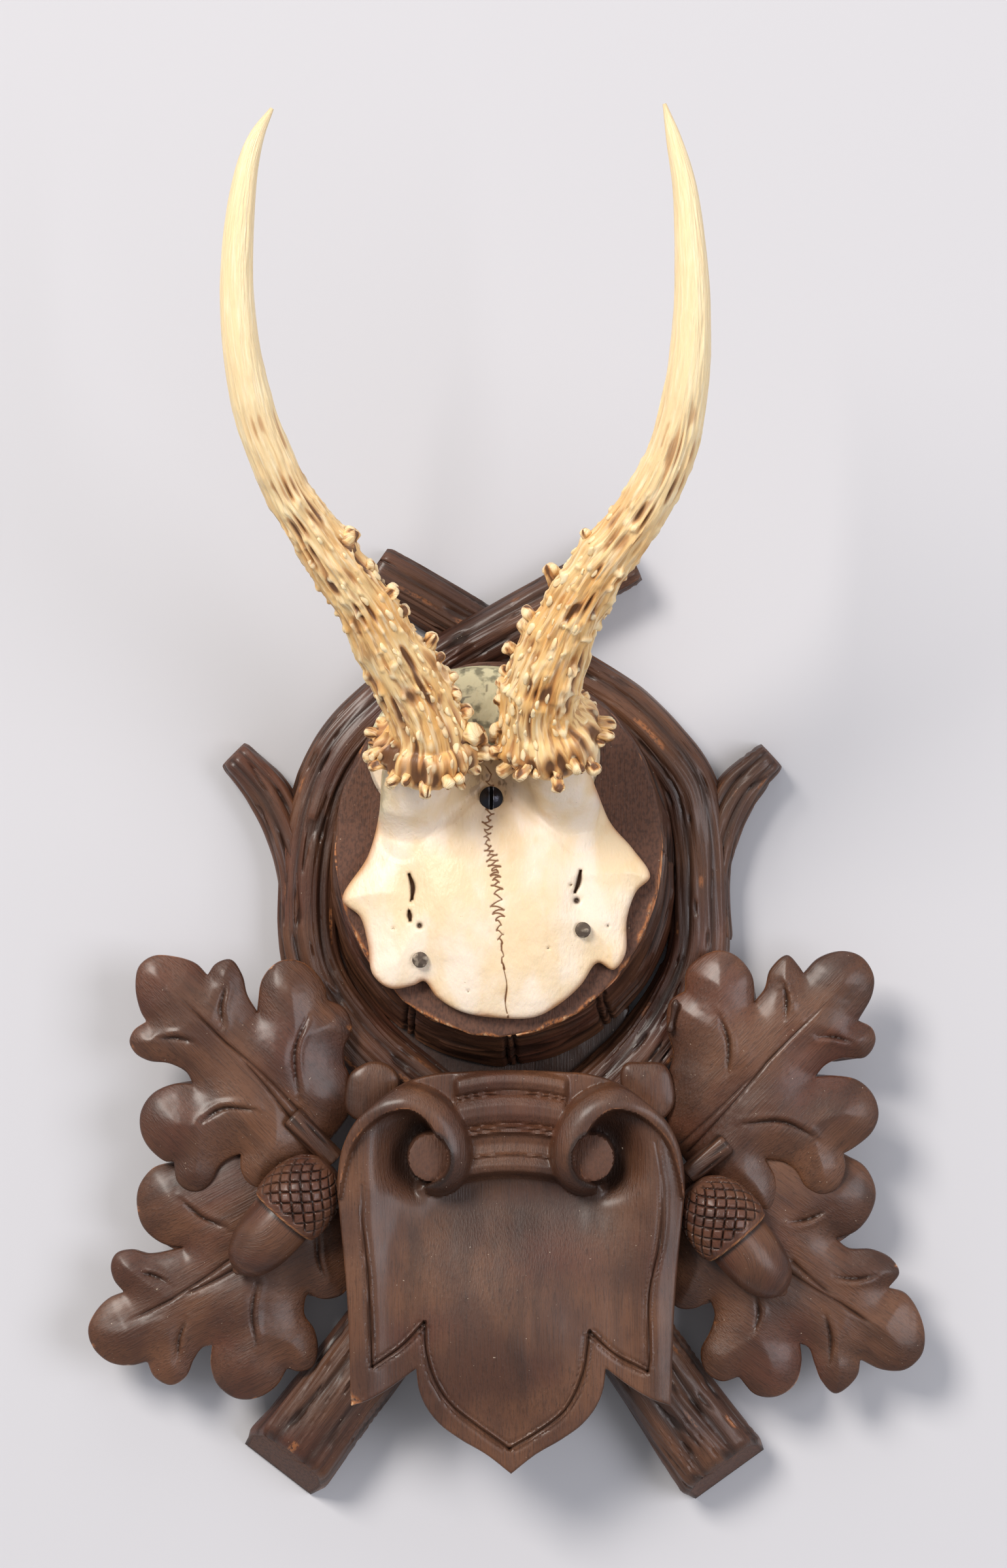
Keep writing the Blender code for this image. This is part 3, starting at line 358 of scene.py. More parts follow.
@dataclass
class Panel:
    """Carved panel cut to an outline; its front follows a depth field and its back is undercut.

    Attributes:
        outline: Rows of x and height round the panel.
        spacing: Distance between the points of its front.
        bevel: Radius of its rounded edge.
        rim: Thickness at the edge.
        back: Gives the depth of its back at rows of x and height.
        centre: Point towards which the undercut runs.
        back_share: Size of the back against the outline.
        lines: Carved lines and their half widths, which get rows of points of their own.
    """

    outline: Array
    spacing: float
    bevel: float
    rim: float
    back: Callable[[Array], Array]
    centre: Pair
    back_share: float = 0.75
    lines: Sequence[tuple[Array, float]] = ()

    def front_points(self) -> tuple[Array, int]:
        """Points of the front: the outline first, then rows along the edge, then an even field.

        Returns:
            The points, and how many of them are the outline.
        """
        outline = resample(self.outline, self.spacing, closed=True)
        way = np.roll(outline, -1, axis=0) - np.roll(outline, 1, axis=0)
        normal = np.column_stack([-way[:, 1], way[:, 0]]) / np.maximum(np.linalg.norm(way, axis=1), 1e-9)[:, None]
        area = (outline[:, 0] * np.roll(outline[:, 1], -1) - outline[:, 1] * np.roll(outline[:, 0], -1)).sum()
        normal *= 1 if area > 0 else -1
        found = [outline]
        for share in (0.25, 0.6, 1.0):
            row = outline + normal * self.bevel * share
            gap = path_distance(row, outline, closed=True)[0]
            found.append(row[(gap > 0.9 * self.bevel * share) & inside(row, outline)])
        low, high = outline.min(0), outline.max(0)
        heights = np.arange(low[1], high[1], self.spacing * 0.866)
        across = np.arange(low[0], high[0], self.spacing)
        rows = [np.column_stack([across + n % 2 * self.spacing / 2, across * 0 + h]) for n, h in enumerate(heights)]
        even = np.vstack(rows)
        even = even[inside(even, outline)]
        even = even[path_distance(even, outline, closed=True)[0] > self.bevel + 0.5 * self.spacing]
        for path, half in self.lines:
            row = resample(path[:, :2], 0.4)
            way = np.gradient(row, axis=0)
            side = np.column_stack([way[:, 1], -way[:, 0]]) / np.maximum(np.linalg.norm(way, axis=1), 1e-9)[:, None]
            even = even[path_distance(even, row)[0] > half + 0.3 * self.spacing]
            rows = np.vstack([row + side * half * share for share in (-1, -0.5, 0, 0.5, 1)])
            gap = path_distance(rows, outline, closed=True)[0]
            found.append(rows[inside(rows, outline) & (gap > self.bevel + 0.2)])
        found.append(even)
        return np.vstack(found), len(outline)

    def build(self, front: Field, along: Pair = (0.0, 1.0)) -> Surface:
        """Builds the panel.

        Args:
            front: Gives the depth and named values at rows of x and height with their distances to the edge.
            along: Direction of the grain, in x and height.

        Returns:
            The closed panel.
        """
        wanted, count = self.front_points()
        loop = [(i, (i + 1) % count) for i in range(count)]
        verts, _, faces, origins, *_ = delaunay_2d_cdt([Vector(p) for p in wanted.tolist()], loop, [], 1, 1e-5)
        flat = np.array([tuple(v) for v in verts])
        place = {origin: number for number, found in enumerate(origins) for origin in found}
        rim = np.array([place[i] for i in range(count)])
        edge = path_distance(flat, flat[rim], closed=True)[0]
        depth, values = front(flat, edge)
        short = np.clip(self.bevel - edge, 0, None)
        top = depth - (self.bevel - np.sqrt(np.maximum(self.bevel**2 - short**2, 0)))
        under = np.array(self.centre) + (flat[rim] - self.centre) * self.back_share
        blocks = (
            np.column_stack([flat, top]),
            np.column_stack([flat[rim], depth[rim] - self.rim]),
            np.column_stack([under, self.back(under)]),
        )
        first, second = len(flat), len(flat) + count
        here = np.arange(count)
        after = (here + 1) % count
        made: list[Sequence[int]] = [list(face) for face in faces]
        made += np.column_stack([rim, first + here, first + after, rim[after]]).tolist()
        made += np.column_stack([first + here, second + here, second + after, first + after]).tolist()
        made.append(list(range(second, second + count)))
        points = np.vstack(blocks)
        way = np.array(along) / np.linalg.norm(along)
        grain = np.column_stack([points[:, 0] * way[1] - points[:, 1] * way[0], points[:, :2] @ way, points[:, 2]])
        values = {name: np.concatenate([v, v[rim], v[rim] * 0]) for name, v in values.items()}
        return Surface(points, made, grain, values)


def sweep_frame(path: Array) -> tuple[Array, Array, Array, Array]:
    """Steady frame along a path in space.

    Args:
        path: Rows of x, height and depth.

    Returns:
        The distance run, the direction along, and two directions across it.
    """
    way = np.gradient(path, axis=0)
    way /= np.linalg.norm(way, axis=1)[:, None]
    run = np.concatenate([[0], np.cumsum(np.linalg.norm(np.diff(path, axis=0), axis=1))])
    side = np.array([1.0, 0.0, 0.0])
    across = []
    for along in way:
        side = side - along * side.dot(along)
        side /= np.linalg.norm(side)
        across.append(side)
    return run, way, np.array(across), np.cross(way, np.array(across))


def turned(
    profile: Sequence[Pair],
    centre: Sequence[float],
    tip: Sequence[float],
    sides: int,
    relief: Callable[[Array, Array, Array], tuple[Array, dict[str, Array]]],
    spacing: float = 0.4,
) -> Surface:
    """Turned form with some relief.

    Args:
        profile: Rows of radius and distance from the centre, along the axis.
        centre: Place of distance 0: x, height and depth.
        tip: Point that the axis aims at.
        sides: Points round it.
        relief: Gives added radius and named values at the turn, the distance and the radius.
        spacing: Distance between the rows.

    Returns:
        The closed surface.
    """
    radius, run = resample(np.array(profile), spacing).T
    aim = np.subtract(tip, centre)
    aim = aim / np.linalg.norm(aim)
    helper = np.array([0.0, 0.0, 1.0]) if abs(aim[2]) < 0.9 else np.array([1.0, 0.0, 0.0])
    across = np.cross(aim, helper)
    across /= np.linalg.norm(across)
    other = np.cross(aim, across)
    turn = np.tile(np.linspace(0, 2 * math.pi, sides, endpoint=False), len(run))
    run, radius = np.repeat(run, sides), np.repeat(radius, sides)
    extra, values = relief(turn, run, radius)
    reach = (radius + extra)[:, None]
    points = np.array(centre) + aim * run[:, None]
    points = points + reach * (across * np.cos(turn)[:, None] + other * np.sin(turn)[:, None])
    grain = np.column_stack([turn * radius, run, radius])
    return grid(points, sides, grain, values)


# Sizes that the carved pieces share with the solids

BOSS_CENTRE = (-1.3, -0.5)
BOSS_HALF = (45.8, 52.3)
BOSS_FLARE = 4.6
SHIELD_AXIS = 2.1
SHIELD_DEPTH = 35.0
SHIELD_BACK = 26.3
GAP = 0.3


class Hand(Enum):
    """Left or right half of the plaque."""

    LEFT = -1
    RIGHT = 1


def face_depth(height: Array) -> Array:
    """Depth of the boss's slanted face."""
    return 30.0 - 0.095 * height


# Carved wreath and log boss


@dataclass
class Branch:
    """Fluted branch: a sweep whose front is carved into ridges and grooves.

    Attributes:
        stations: Rows of x, height, half width and depth.
        slant: How far the first end is cut back from the wall to its front.
        seed: Picks its grain and nicks, and sets its back apart from the others.
        sides: Points round it.
        spacing: Distance between its rings.
    """

    stations: Sequence[Sequence[float]]
    slant: float
    seed: float
    sides: int = 72
    spacing: float = 1.05

    def build(self) -> Surface:
        """Builds the branch as a closed surface."""
        path = resample(curve(self.stations, 12), self.spacing)
        way = np.gradient(path[:, :2], axis=0)
        way /= np.linalg.norm(way, axis=1)[:, None]
        run = np.arange(len(path)) * self.spacing
        arc = np.linspace(0, math.pi, self.sides - 2)
        half, deep = path[:, 2:3], path[:, 3:4]
        s = np.repeat(run, len(arc))
        turn = np.tile(arc, len(run))
        width = (half * arc).ravel()
        place = np.column_stack([width, s, s * 0 + self.seed * 50])
        sway = 0.5 * noise(place, (30, 42, 50)) + 0.25 * noise(place, (9, 24, 50), 2)
        ridge = np.abs(np.cos(4 * turn + sway))
        flute = (1 - ridge) ** 1.3
        strength = 0.95 + 0.5 * noise(place, (60, 33, 50), 3)
        fine = 1 - np.abs(noise(place, (1.4, 40, 50), 4)) * 2.6
        nick = step(0.52, 0.8, noise(place, (1.7, 8.5, 50), 5))
        facet = noise(place, (4.5, 7.0, 50), 6)
        bursts = step(0.15, 0.5, noise(place, (60, 16, 50), 7)) * step(-0.1, 0.4, np.cos(turn + 0.6))
        hatch = bursts * np.clip(np.sin(2.6 * s + 0.9 * width + noise(place, 5, 8)), 0, 1)
        relief = strength * flute + 0.3 * np.clip(fine, -1, 1) + 0.7 * nick + 0.18 * facet + 0.55 * hatch
        relief = relief.reshape(len(run), -1)
        rise = deep * (0.45 + 0.55 * np.maximum(np.sin(arc), 0) ** 0.7) - relief * np.maximum(np.sin(arc), 0.25)
        side = (half - relief * 0.55) * np.cos(arc)
        ends = np.minimum(run, run[-1] - run)[:, None]
        shrink = 1 - 0.075 * (1 - np.clip(ends / 1.8, 0, 1)) ** 2
        side, rise = side * shrink, rise * shrink
        foot = half * 0.88
        side = np.hstack([foot, side, -foot])
        back = foot * 0 + BACK_STEP * self.seed
        rise = np.hstack([back, rise, back])
        across = np.column_stack([way[:, 1], -way[:, 0]])
        back_off = self.slant * (1 - rise / deep) * (1 - step(0, 16, run))[:, None]
        x = path[:, :1] + across[:, :1] * side - way[:, :1] * back_off
        height = path[:, 1:2] + across[:, 1:] * side - way[:, 1:] * back_off
        points = np.stack([x, height, rise], axis=-1)
        grain = np.stack([side * 1.3, run[:, None] + side * 0 + self.seed * 100, rise], axis=-1)
        pad = ((0, 0), (1, 1))
        values = {
            # Painted shade in the flutes, nicks and hatching, and full painted shade on the feet against the wall.
            "hollow": np.pad((0.75 * flute + 0.6 * nick + 0.4 * hatch).reshape(len(run), -1), pad, constant_values=1.0),
            "wear": np.pad((0.7 * step(0.85, 1.0, ridge) * step(0.2, 0.7, facet)).reshape(len(run), -1), pad),
            "raw": np.zeros(points.shape[:2]),
        }
        return self.close(points, grain, values)

    def close(self, points: Array, grain: Array, values: dict[str, Array]) -> Surface:
        """Adds the rings of both cut ends.

        Args:
            points: Rows of rings.
            grain: Their grain coordinates.
            values: Their named numbers.

        Returns:
            The closed surface.
        """
        shares = (0.1, 0.3, 0.55, 0.8)
        rows, looks = [points], {name: [numbers] for name, numbers in values.items()}
        grains = [grain]
        for end in (0, -1):
            outline = points[end]
            middle = outline.mean(0)
            thrust = (points[0] - points[2]).mean(0) if end == 0 else (points[-1] - points[-3]).mean(0)
            thrust = thrust / np.linalg.norm(thrust)
            ring_rows = []
            for share in shares:
                swell = 0.5 * math.sin(math.pi / 2 * share)
                ring_rows.append(outline + (middle - outline) * share + thrust * swell)
            made = np.array(ring_rows)[::-1] if end == 0 else np.array(ring_rows)
            rows.insert(0, made) if end == 0 else rows.append(made)
            turned_grain = made[:, :, [0, 2, 1]]
            grains.insert(0, turned_grain) if end == 0 else grains.append(turned_grain)
            for name, found in looks.items():
                extra = np.full(made.shape[:2], 1.0 if name == "raw" else 0.0)
                found.insert(0, extra) if end == 0 else found.append(extra)
        whole = np.concatenate(rows)
        flat = {name: np.concatenate(found).ravel() for name, found in looks.items()}
        return grid(whole.reshape(-1, 3), whole.shape[1], np.concatenate(grains).reshape(-1, 3), flat)


@dataclass
class LogBoss:
    """Slice of a log with a bark wall, a flared foot and a slanted flat face.

    Attributes:
        sides: Points round it.
        rows: Rings of its wall.
        grooves: Directions of the cuts across the bark, in degrees.
        girth: Mean radius that the bark is laid out on.
    """

    sides: int = 460
    rows: int = 46
    grooves: tuple[float, ...] = (-86.6, -122.8, -52.2)
    girth: float = 49.0

    def wall(self) -> Surface:
        """Builds the bark wall, carved in strokes that run parallel to the rim."""
        turn = np.linspace(0, 2 * math.pi, self.sides, endpoint=False)
        up = np.linspace(0, 1, self.rows)[:, None]
        flare = BOSS_FLARE * (1 - np.clip((up - 0.12) / 0.8, 0, 1) ** 0.7)
        drop = -5.5 * (1 - np.clip((up - 0.12) / 0.8, 0, 1))
        around = np.broadcast_to(turn * self.girth, (self.rows, self.sides))
        climb = np.broadcast_to(up * 30, (self.rows, self.sides))
        place = np.column_stack([around.ravel(), climb.ravel(), np.zeros(around.size)])
        stroke = 1 - 2.2 * np.abs(noise(place, (17, 1.7, 9), 11))
        bark = 0.55 * stroke + 0.3 * noise(place, (6, 2.6, 9), 12) + 0.45 * noise(place, (24, 6, 9), 13)
        cross = np.zeros(len(place))
        for groove in self.grooves:
            for shift in (-1.25, 1.25):
                at_groove = math.radians(groove) % (2 * math.pi) * self.girth + shift
                cross += bell(place[:, 0] - at_groove - 0.5 * noise(place, (40, 5, 9), 14), 0.5)
        relief = (bark - 1.3 * cross).reshape(self.rows, self.sides) * np.clip(up * 6, 0.3, 1)
        x = BOSS_CENTRE[0] + 1.3 * (1 - up) + (BOSS_HALF[0] - 0.4 + flare + relief) * np.cos(turn)
        height = BOSS_CENTRE[1] + drop + (BOSS_HALF[1] - 0.4 + flare + relief) * np.sin(turn)
        top = face_depth(height) - 0.5
        depth = np.where(up < 0.12, up / 0.12 * 9, 9 + (top - 9) * (up - 0.12) / 0.88)
        points = np.stack([x, height, depth], axis=-1).reshape(-1, 3)
        values = {
            # Painted shade in the bark's strokes and cross grooves.
            "hollow": np.clip(0.5 - stroke + cross * 1.5, 0, 1.4),
            "wear": (np.clip(up * 8 - 7, 0, 1) * np.ones(self.sides)).ravel() * step(-0.2, 0.6, bark),
            "raw": np.zeros(len(points)),
        }
        grain = np.column_stack([climb.ravel(), around.ravel(), depth.ravel() * 0])
        ring = points[:self.sides]
        middle = ring.mean(0)
        sawn = np.concatenate([middle + (ring - middle) * share for share in (0.02, 0.35, 0.7, 0.98)])
        looks = {"hollow": 0.15, "wear": 0.0, "raw": 1.0}
        values = {name: np.append(np.full(len(sawn), looks[name]), found) for name, found in values.items()}
        return grid(np.vstack([sawn, points]), self.sides, np.vstack([sawn, grain]), values)

    def face(self) -> Surface:
        """Builds the matte face of the slice, with a ragged rim."""
        turn = np.linspace(0, 2 * math.pi, 720, endpoint=False)
        ragged = np.column_stack([turn * 0, 30 * np.cos(turn), 30 * np.sin(turn)])
        loose = 0.45 * noise(ragged, 2.4, 21) + 0.3 * noise(ragged, 7, 22)
        outline = np.column_stack([
            BOSS_CENTRE[0] + (BOSS_HALF[0] - 0.2 + loose) * np.cos(turn),
            BOSS_CENTRE[1] + (BOSS_HALF[1] - 0.2 + loose) * np.sin(turn),
        ])
        holes = np.array([(-22.8, -48.9), (22.8, -46.7)])

        def front(flat: Array, edge: Array) -> tuple[Array, dict[str, Array]]:
            """Flat face with fine tool texture, and a small pin hole on each side near the lower rim."""
            spots = lift(flat)
            rough = noise(spots, 1.3, 23) + 0.6 * noise(spots, 3.1, 24)
            pin = np.minimum(*(np.linalg.norm(flat - hole, axis=1) for hole in holes))
            depth = face_depth(flat[:, 1]) - 0.12 + 0.05 * rough - 1.6 * (1 - step(0.7, 1.15, pin))
            low = step(20, -40, flat[:, 1])
            wear = (1 - step(0.2, 1.7, edge + 0.9 * noise(spots, 4, 25))) * (0.25 + 0.75 * low)
            # Painted shade in the two pin holes.
            return depth, {"wear": wear, "hollow": 2 * (1 - step(0.8, 1.3, pin)), "raw": np.ones(len(flat))}

        return Panel(outline, 0.95, 0.8, 2.6, lambda p: face_depth(p[:, 1]) - 4.0, BOSS_CENTRE, 0.97).build(front)


@dataclass
class Backboard:
    """Wreath of two crossing branches with their stubs, and the log boss in its middle."""

    left_limb: tuple[tuple[float, ...], ...] = (
        (60.6, -174.2, 13.7, 19.0), (50.0, -159.5, 12.5, 20.0), (38.3, -142.5, 11.9, 20.0),
        (20.0, -117.0, 11.0, 24.0), (2.0, -94.0, 10.5, 26.0), (-20.0, -74.0, 10.5, 17.0), (-40.5, -55.5, 10.0, 15.0),
        (-53.5, -34.0, 9.2, 15.0), (-55.3, -12.0, 8.6, 15.0), (-52.4, 9.2, 9.2, 15.0), (-45.6, 25.6, 9.6, 15.0),
        (-32.0, 40.4, 9.4, 15.0), (-16.2, 52.4, 8.0, 16.0), (0.0, 61.8, 7.8, 17.0), (18.0, 71.8, 7.8, 17.0),
        (36.0, 81.8, 7.8, 16.0),
    )
    right_limb: tuple[tuple[float, ...], ...] = (
        (-58.8, -171.0, 13.5, 19.0), (-48.0, -157.0, 12.5, 20.0), (-35.3, -140.4, 12.1, 20.0),
        (-17.0, -116.0, 11.5, 20.0), (2.0, -92.0, 10.5, 20.0), (24.0, -74.0, 10.5, 17.0), (42.5, -55.5, 10.0, 15.0),
        (54.5, -34.0, 9.2, 15.0), (55.8, -12.0, 8.6, 15.0), (54.8, 4.0, 8.6, 15.0), (51.8, 16.4, 9.2, 15.0),
        (44.6, 27.6, 8.6, 15.0), (34.6, 37.8, 8.6, 14.0), (21.5, 47.0, 8.0, 13.0), (6.2, 54.6, 8.0, 12.0),
        (-8.1, 61.8, 8.0, 11.0), (-22.0, 69.9, 8.0, 11.0), (-36.6, 78.2, 8.0, 11.0),
    )
    left_stub: tuple[tuple[float, ...], ...] = (
        (-76.3, 25.3, 4.9, 13.0), (-71.6, 20.6, 5.6, 13.5), (-66.5, 14.5, 6.5, 13.5), (-61.6, 4.0, 6.2, 13.5),
        (-59.4, -9.0, 4.8, 13.5), (-59.2, -27.0, 4.8, 13.5),
    )
    right_stub: tuple[tuple[float, ...], ...] = (
        (75.7, 25.0, 4.9, 13.0), (71.0, 20.6, 5.6, 13.5), (66.0, 14.8, 6.5, 13.5), (61.2, 4.0, 6.2, 13.5),
        (59.6, -9.0, 4.8, 13.5), (60.4, -27.0, 4.8, 13.5),
    )
    web: tuple[Pair, ...] = ((-34, -46), (-26, -66), (-6, -86), (10, -86), (30, -66), (36, -46))

    def ground(self) -> Surface:
        """Thin ground between the boss and the crossing."""
        outline = np.array(self.web, float)

        def front(flat: Array, edge: Array) -> tuple[Array, dict[str, Array]]:
            """Nearly flat, with gouge marks, and dark all over as painted shade."""
            rough = noise(lift(flat), (3, 9, 3), 31)
            # Painted shade over the whole recessed ground.
            return 8 + 0.35 * rough - 0.4, {"hollow": 0.7 + 0 * edge, "wear": 0 * edge, "raw": 0 * edge}

        return Panel(outline, 1.2, 0.5, 7.4, lambda p: 0.1 + 0 * p[:, 0], (0.0, -66.0), 0.99).build(front)

    def build(self, stained: bpy.types.Material) -> bpy.types.Object:
        """Builds and dresses the backboard.

        Args:
            stained: The stained wood.

        Returns:
            The piece.
        """
        boss = LogBoss()
        parts = [
            Branch(self.left_limb, 7.0, 1).build(),
            Branch(self.right_limb, 9.5, 2).build(),
            Branch(self.left_stub, 1.2, 3, 48).build(),
            Branch(self.right_stub, 1.2, 4, 48).build(),
            boss.wall(),
            boss.face(),
            self.ground(),
        ]
        return make_object("carved_wreath_and_boss", joined(parts), stained)


# Oak leaves and acorns


@dataclass
class OakLeaf:
    """Lobed leaf, carved in relief.

    Attributes:
        outline: Places round the leaf; a third number of 1 marks the bottom of a notch.
        midrib: Its main vein, from the base to the tip.
        veins: Short gouged veins.
        depth: Depth of its face.
        back: Depth of its back.
        settle: How far it comes down to the shield.
        centre: Point that the undercut aims at.
        seed: Picks its tool marks.
        chips: Old chips and nicks: x, height and size.
    """

    outline: Sequence[Sequence[float]]
    midrib: Sequence[Pair]
    veins: Sequence[Sequence[Pair]]
    depth: float
    back: float
    settle: float
    centre: Pair
    seed: float
    chips: tuple[tuple[float, float, float], ...] = ()

    def edge_line(self) -> Array:
        """Smooth outline with a corner in each notch."""
        rows = [np.array([*place[:2]], float) for place in self.outline]
        corners = [n for n, place in enumerate(self.outline) if len(place) > 2]
        pieces = []
        for first, last in zip(corners, corners[1:] + [corners[0] + len(rows)]):
            run = [rows[n % len(rows)] for n in range(first, last + 1)]
            pieces.append(curve(run, 8)[:-1])
        return np.vstack(pieces)

    def cuts(self) -> list[tuple[Array, float, float]]:
        """Gouged lines: both sides of the midrib, which meet half way up it, and the veins.

        Returns:
            The path, the half width and the depth of each.
        """
        rib = resample(curve(self.midrib, 10), 0.5)
        share = np.linspace(0, 1, len(rib))[:, None]
        way = np.gradient(rib, axis=0)
        side = np.column_stack([way[:, 1], -way[:, 0]]) / np.linalg.norm(way, axis=1)[:, None]
        half = 1.55 * np.clip(1 - share / 0.55, 0, 1) ** 0.8
        met = len(rib) // 2
        found = [(rib + side * half, 0.42, 0.75), ((rib - side * half)[:met], 0.42, 0.75)]
        return found + [(curve(vein, 8), 0.6, 1.0) for vein in self.veins]

    def front(self, flat: Array, edge: Array) -> tuple[Array, dict[str, Array]]:
        """Carving of the face.

        Args:
            flat: Rows of x and height.
            edge: Their distances to the edge.

        Returns:
            Depths, and how worn and how hollow each place is.
        """
        spots = lift(flat) + self.seed * 40
        inner = np.clip(1 - (np.abs(flat[:, 0] - SHIELD_AXIS) - 36) / 30, 0, None)
        depth = self.depth - self.settle * inner
        depth += 1.5 * (1 - np.exp(-edge / 4.5)) - 3.4 * (1 - np.clip(edge / 17, 0, 1)) ** 1.7
        gap, share, _ = path_distance(flat, curve(self.midrib, 10))
        depth -= 1.7 * np.exp(-((gap / 6.0) ** 2)) * (1 - 0.6 * share)
        depth += 0.55 * bell(gap, 1.1) * np.clip(1 - share / 0.6, 0, 1)
        # Painted shade along the valley of the midrib.
        hollow = 0.3 * bell(gap, 4.0) * (1 - share)
        for path, half, cut in self.cuts():
            gap, share, side = path_distance(flat, path)
            taper = np.sin(math.pi * np.clip(share, 0.05, 0.95)) ** 0.5
            if cut < 0.9:
                taper = (1 - step(0.72, 1.0, share)) * (0.75 + 0.25 * noise(spots, 7, 45))
            else:
                depth += 0.4 * taper * bell(gap - 1.5, 0.9) * (side > 0)
                depth -= 0.45 * taper * bell(gap - 1.0, 1.4) * (side < 0)
            depth -= cut * taper * bell(gap, half)
            # Painted shade in each gouged cut.
            hollow = np.maximum(hollow, taper * bell(gap, half * 0.8))
        depth += 0.2 * noise(spots, 6.5, 41) + 0.035 * noise(spots, 1.1, 42)
        rubbed = step(0.0, 0.6, noise(spots, 9, 43) + 0.12)
        chip = step(0.6, 0.8, noise(spots, 3.2, 44)) * np.exp(-edge / 1.0)
        for px, ph, size in self.chips:
            chip = np.maximum(chip, bell(np.hypot(flat[:, 0] - px, flat[:, 1] - ph) + noise(spots, 2.0, 46), size))
        depth -= 0.5 * chip
        wear = 0.7 * np.exp(-edge / 0.4) * rubbed + chip
        return depth, {"wear": np.clip(wear, 0, 1), "hollow": np.clip(hollow, 0, 1.2), "raw": 0 * edge}

    def build(self) -> Surface:
        """Builds the leaf."""
        along = np.subtract(self.midrib[-1], self.midrib[0])
        back = self.back
        lines = [(path, half * 1.3) for path, half, _ in self.cuts()]
        panel = Panel(self.edge_line(), 0.72, 0.5, 2.2, lambda p: back + 0 * p[:, 0], self.centre, 0.74, lines)
        return panel.build(self.front, tuple(along))


@dataclass
class Acorn:
    """Acorn in its cup, with a cut stalk.

    Attributes:
        cup: Centre of the cup: x and height.
        tip: Direction of the nut: x and height.
        stalk: Both ends of the stalk.
        depth: Depth of the axis.
    """

    cup: Pair
    tip: Pair
    stalk: tuple[Pair, Pair]
    depth: float = 27.0

    def build(self) -> list[Surface]:
        """Builds the cup, the nut and the stalk."""
        cup, tip = (*self.cup, self.depth), (*self.tip, self.depth)
        shell = [
            (0.05, -12.3), (3.4, -12.0), (5.2, -11.1), (7.6, -8.8), (9.1, -6.3), (10.2, -3.4), (10.8, 0.0),
            (10.9, 2.6), (10.75, 5.2), (10.4, 6.9), (9.6, 7.5), (8.6, 7.2), (8.2, 6.0), (0.05, 5.5),
        ]

        def lattice(turn: Array, run: Array, radius: Array) -> tuple[Array, dict[str, Array]]:
            """Scales of the cup: a diamond lattice of small raised squares, with a plain lip."""
            u, v = turn * 15 / 2 / math.pi * 2 * math.pi, run * 1.02
            cut = np.minimum(np.abs(np.sin((u + v * 1.55) / 2)), np.abs(np.sin((u - v * 1.55) / 2)))
            body = (1 - step(5.2, 6.2, run)) * step(-12, -9, run)
            line = (1 - step(0.05, 0.42, cut)) * body
            wear = step(6.3, 7.3, run) + 0.25 * body * (1 - line)
            # Painted shade in the lines between the cup's scales.
            return 0.3 * body - 0.95 * line, {"hollow": line * 1.2, "wear": np.clip(wear, 0, 1), "raw": 0 * run}

        nut = [
            (0.05, 2.0), (8.6, 4.0), (8.95, 7.5), (8.95, 11.0), (8.7, 15.0), (8.0, 19.0), (6.7, 22.6), (4.9, 25.3),
            (2.9, 26.8), (1.6, 27.3), (1.2, 27.8), (0.6, 28.2), (0.05, 28.3),
        ]

        def skin(turn: Array, run: Array, radius: Array) -> tuple[Array, dict[str, Array]]:
            """Smooth shell with long faint facets."""
            place = np.column_stack([np.cos(turn) * 6, np.sin(turn) * 6, run])
            spot = noise(place, (2.2, 2.2, 14), 51)
            # Painted shade where the nut goes into the cup's lip.
            return 0.12 * spot, {"hollow": bell(run - 7.8, 0.8), "wear": 0 * run, "raw": 0 * run}

        start, end = ((*place, self.depth - 1.5) for place in self.stalk)
        length = float(np.linalg.norm(np.subtract(end, start)))
        rod = [(0.05, 0.0), (2.9, 0.1), (3.4, 0.8), (3.2, length / 2), (3.0, length - 0.4), (0.05, length)]

        def bark(turn: Array, run: Array, radius: Array) -> tuple[Array, dict[str, Array]]:
            """Long grooves."""
            place = np.column_stack([np.cos(turn) * 4, np.sin(turn) * 4, run])
            spot = noise(place, (1.2, 1.2, 9), 52)
            # Painted shade in the stalk's grooves.
            return 0.25 * spot * (radius > 1), {"hollow": step(0, -0.6, spot), "wear": 0 * run, "raw": 0 * run}

        return [
            turned(curve(shell, 6), cup, tip, 180, lattice, 0.3),
            turned(curve(nut, 6), cup, tip, 96, skin, 0.4),
            turned(rod, start, end, 60, bark, 0.4),
        ]


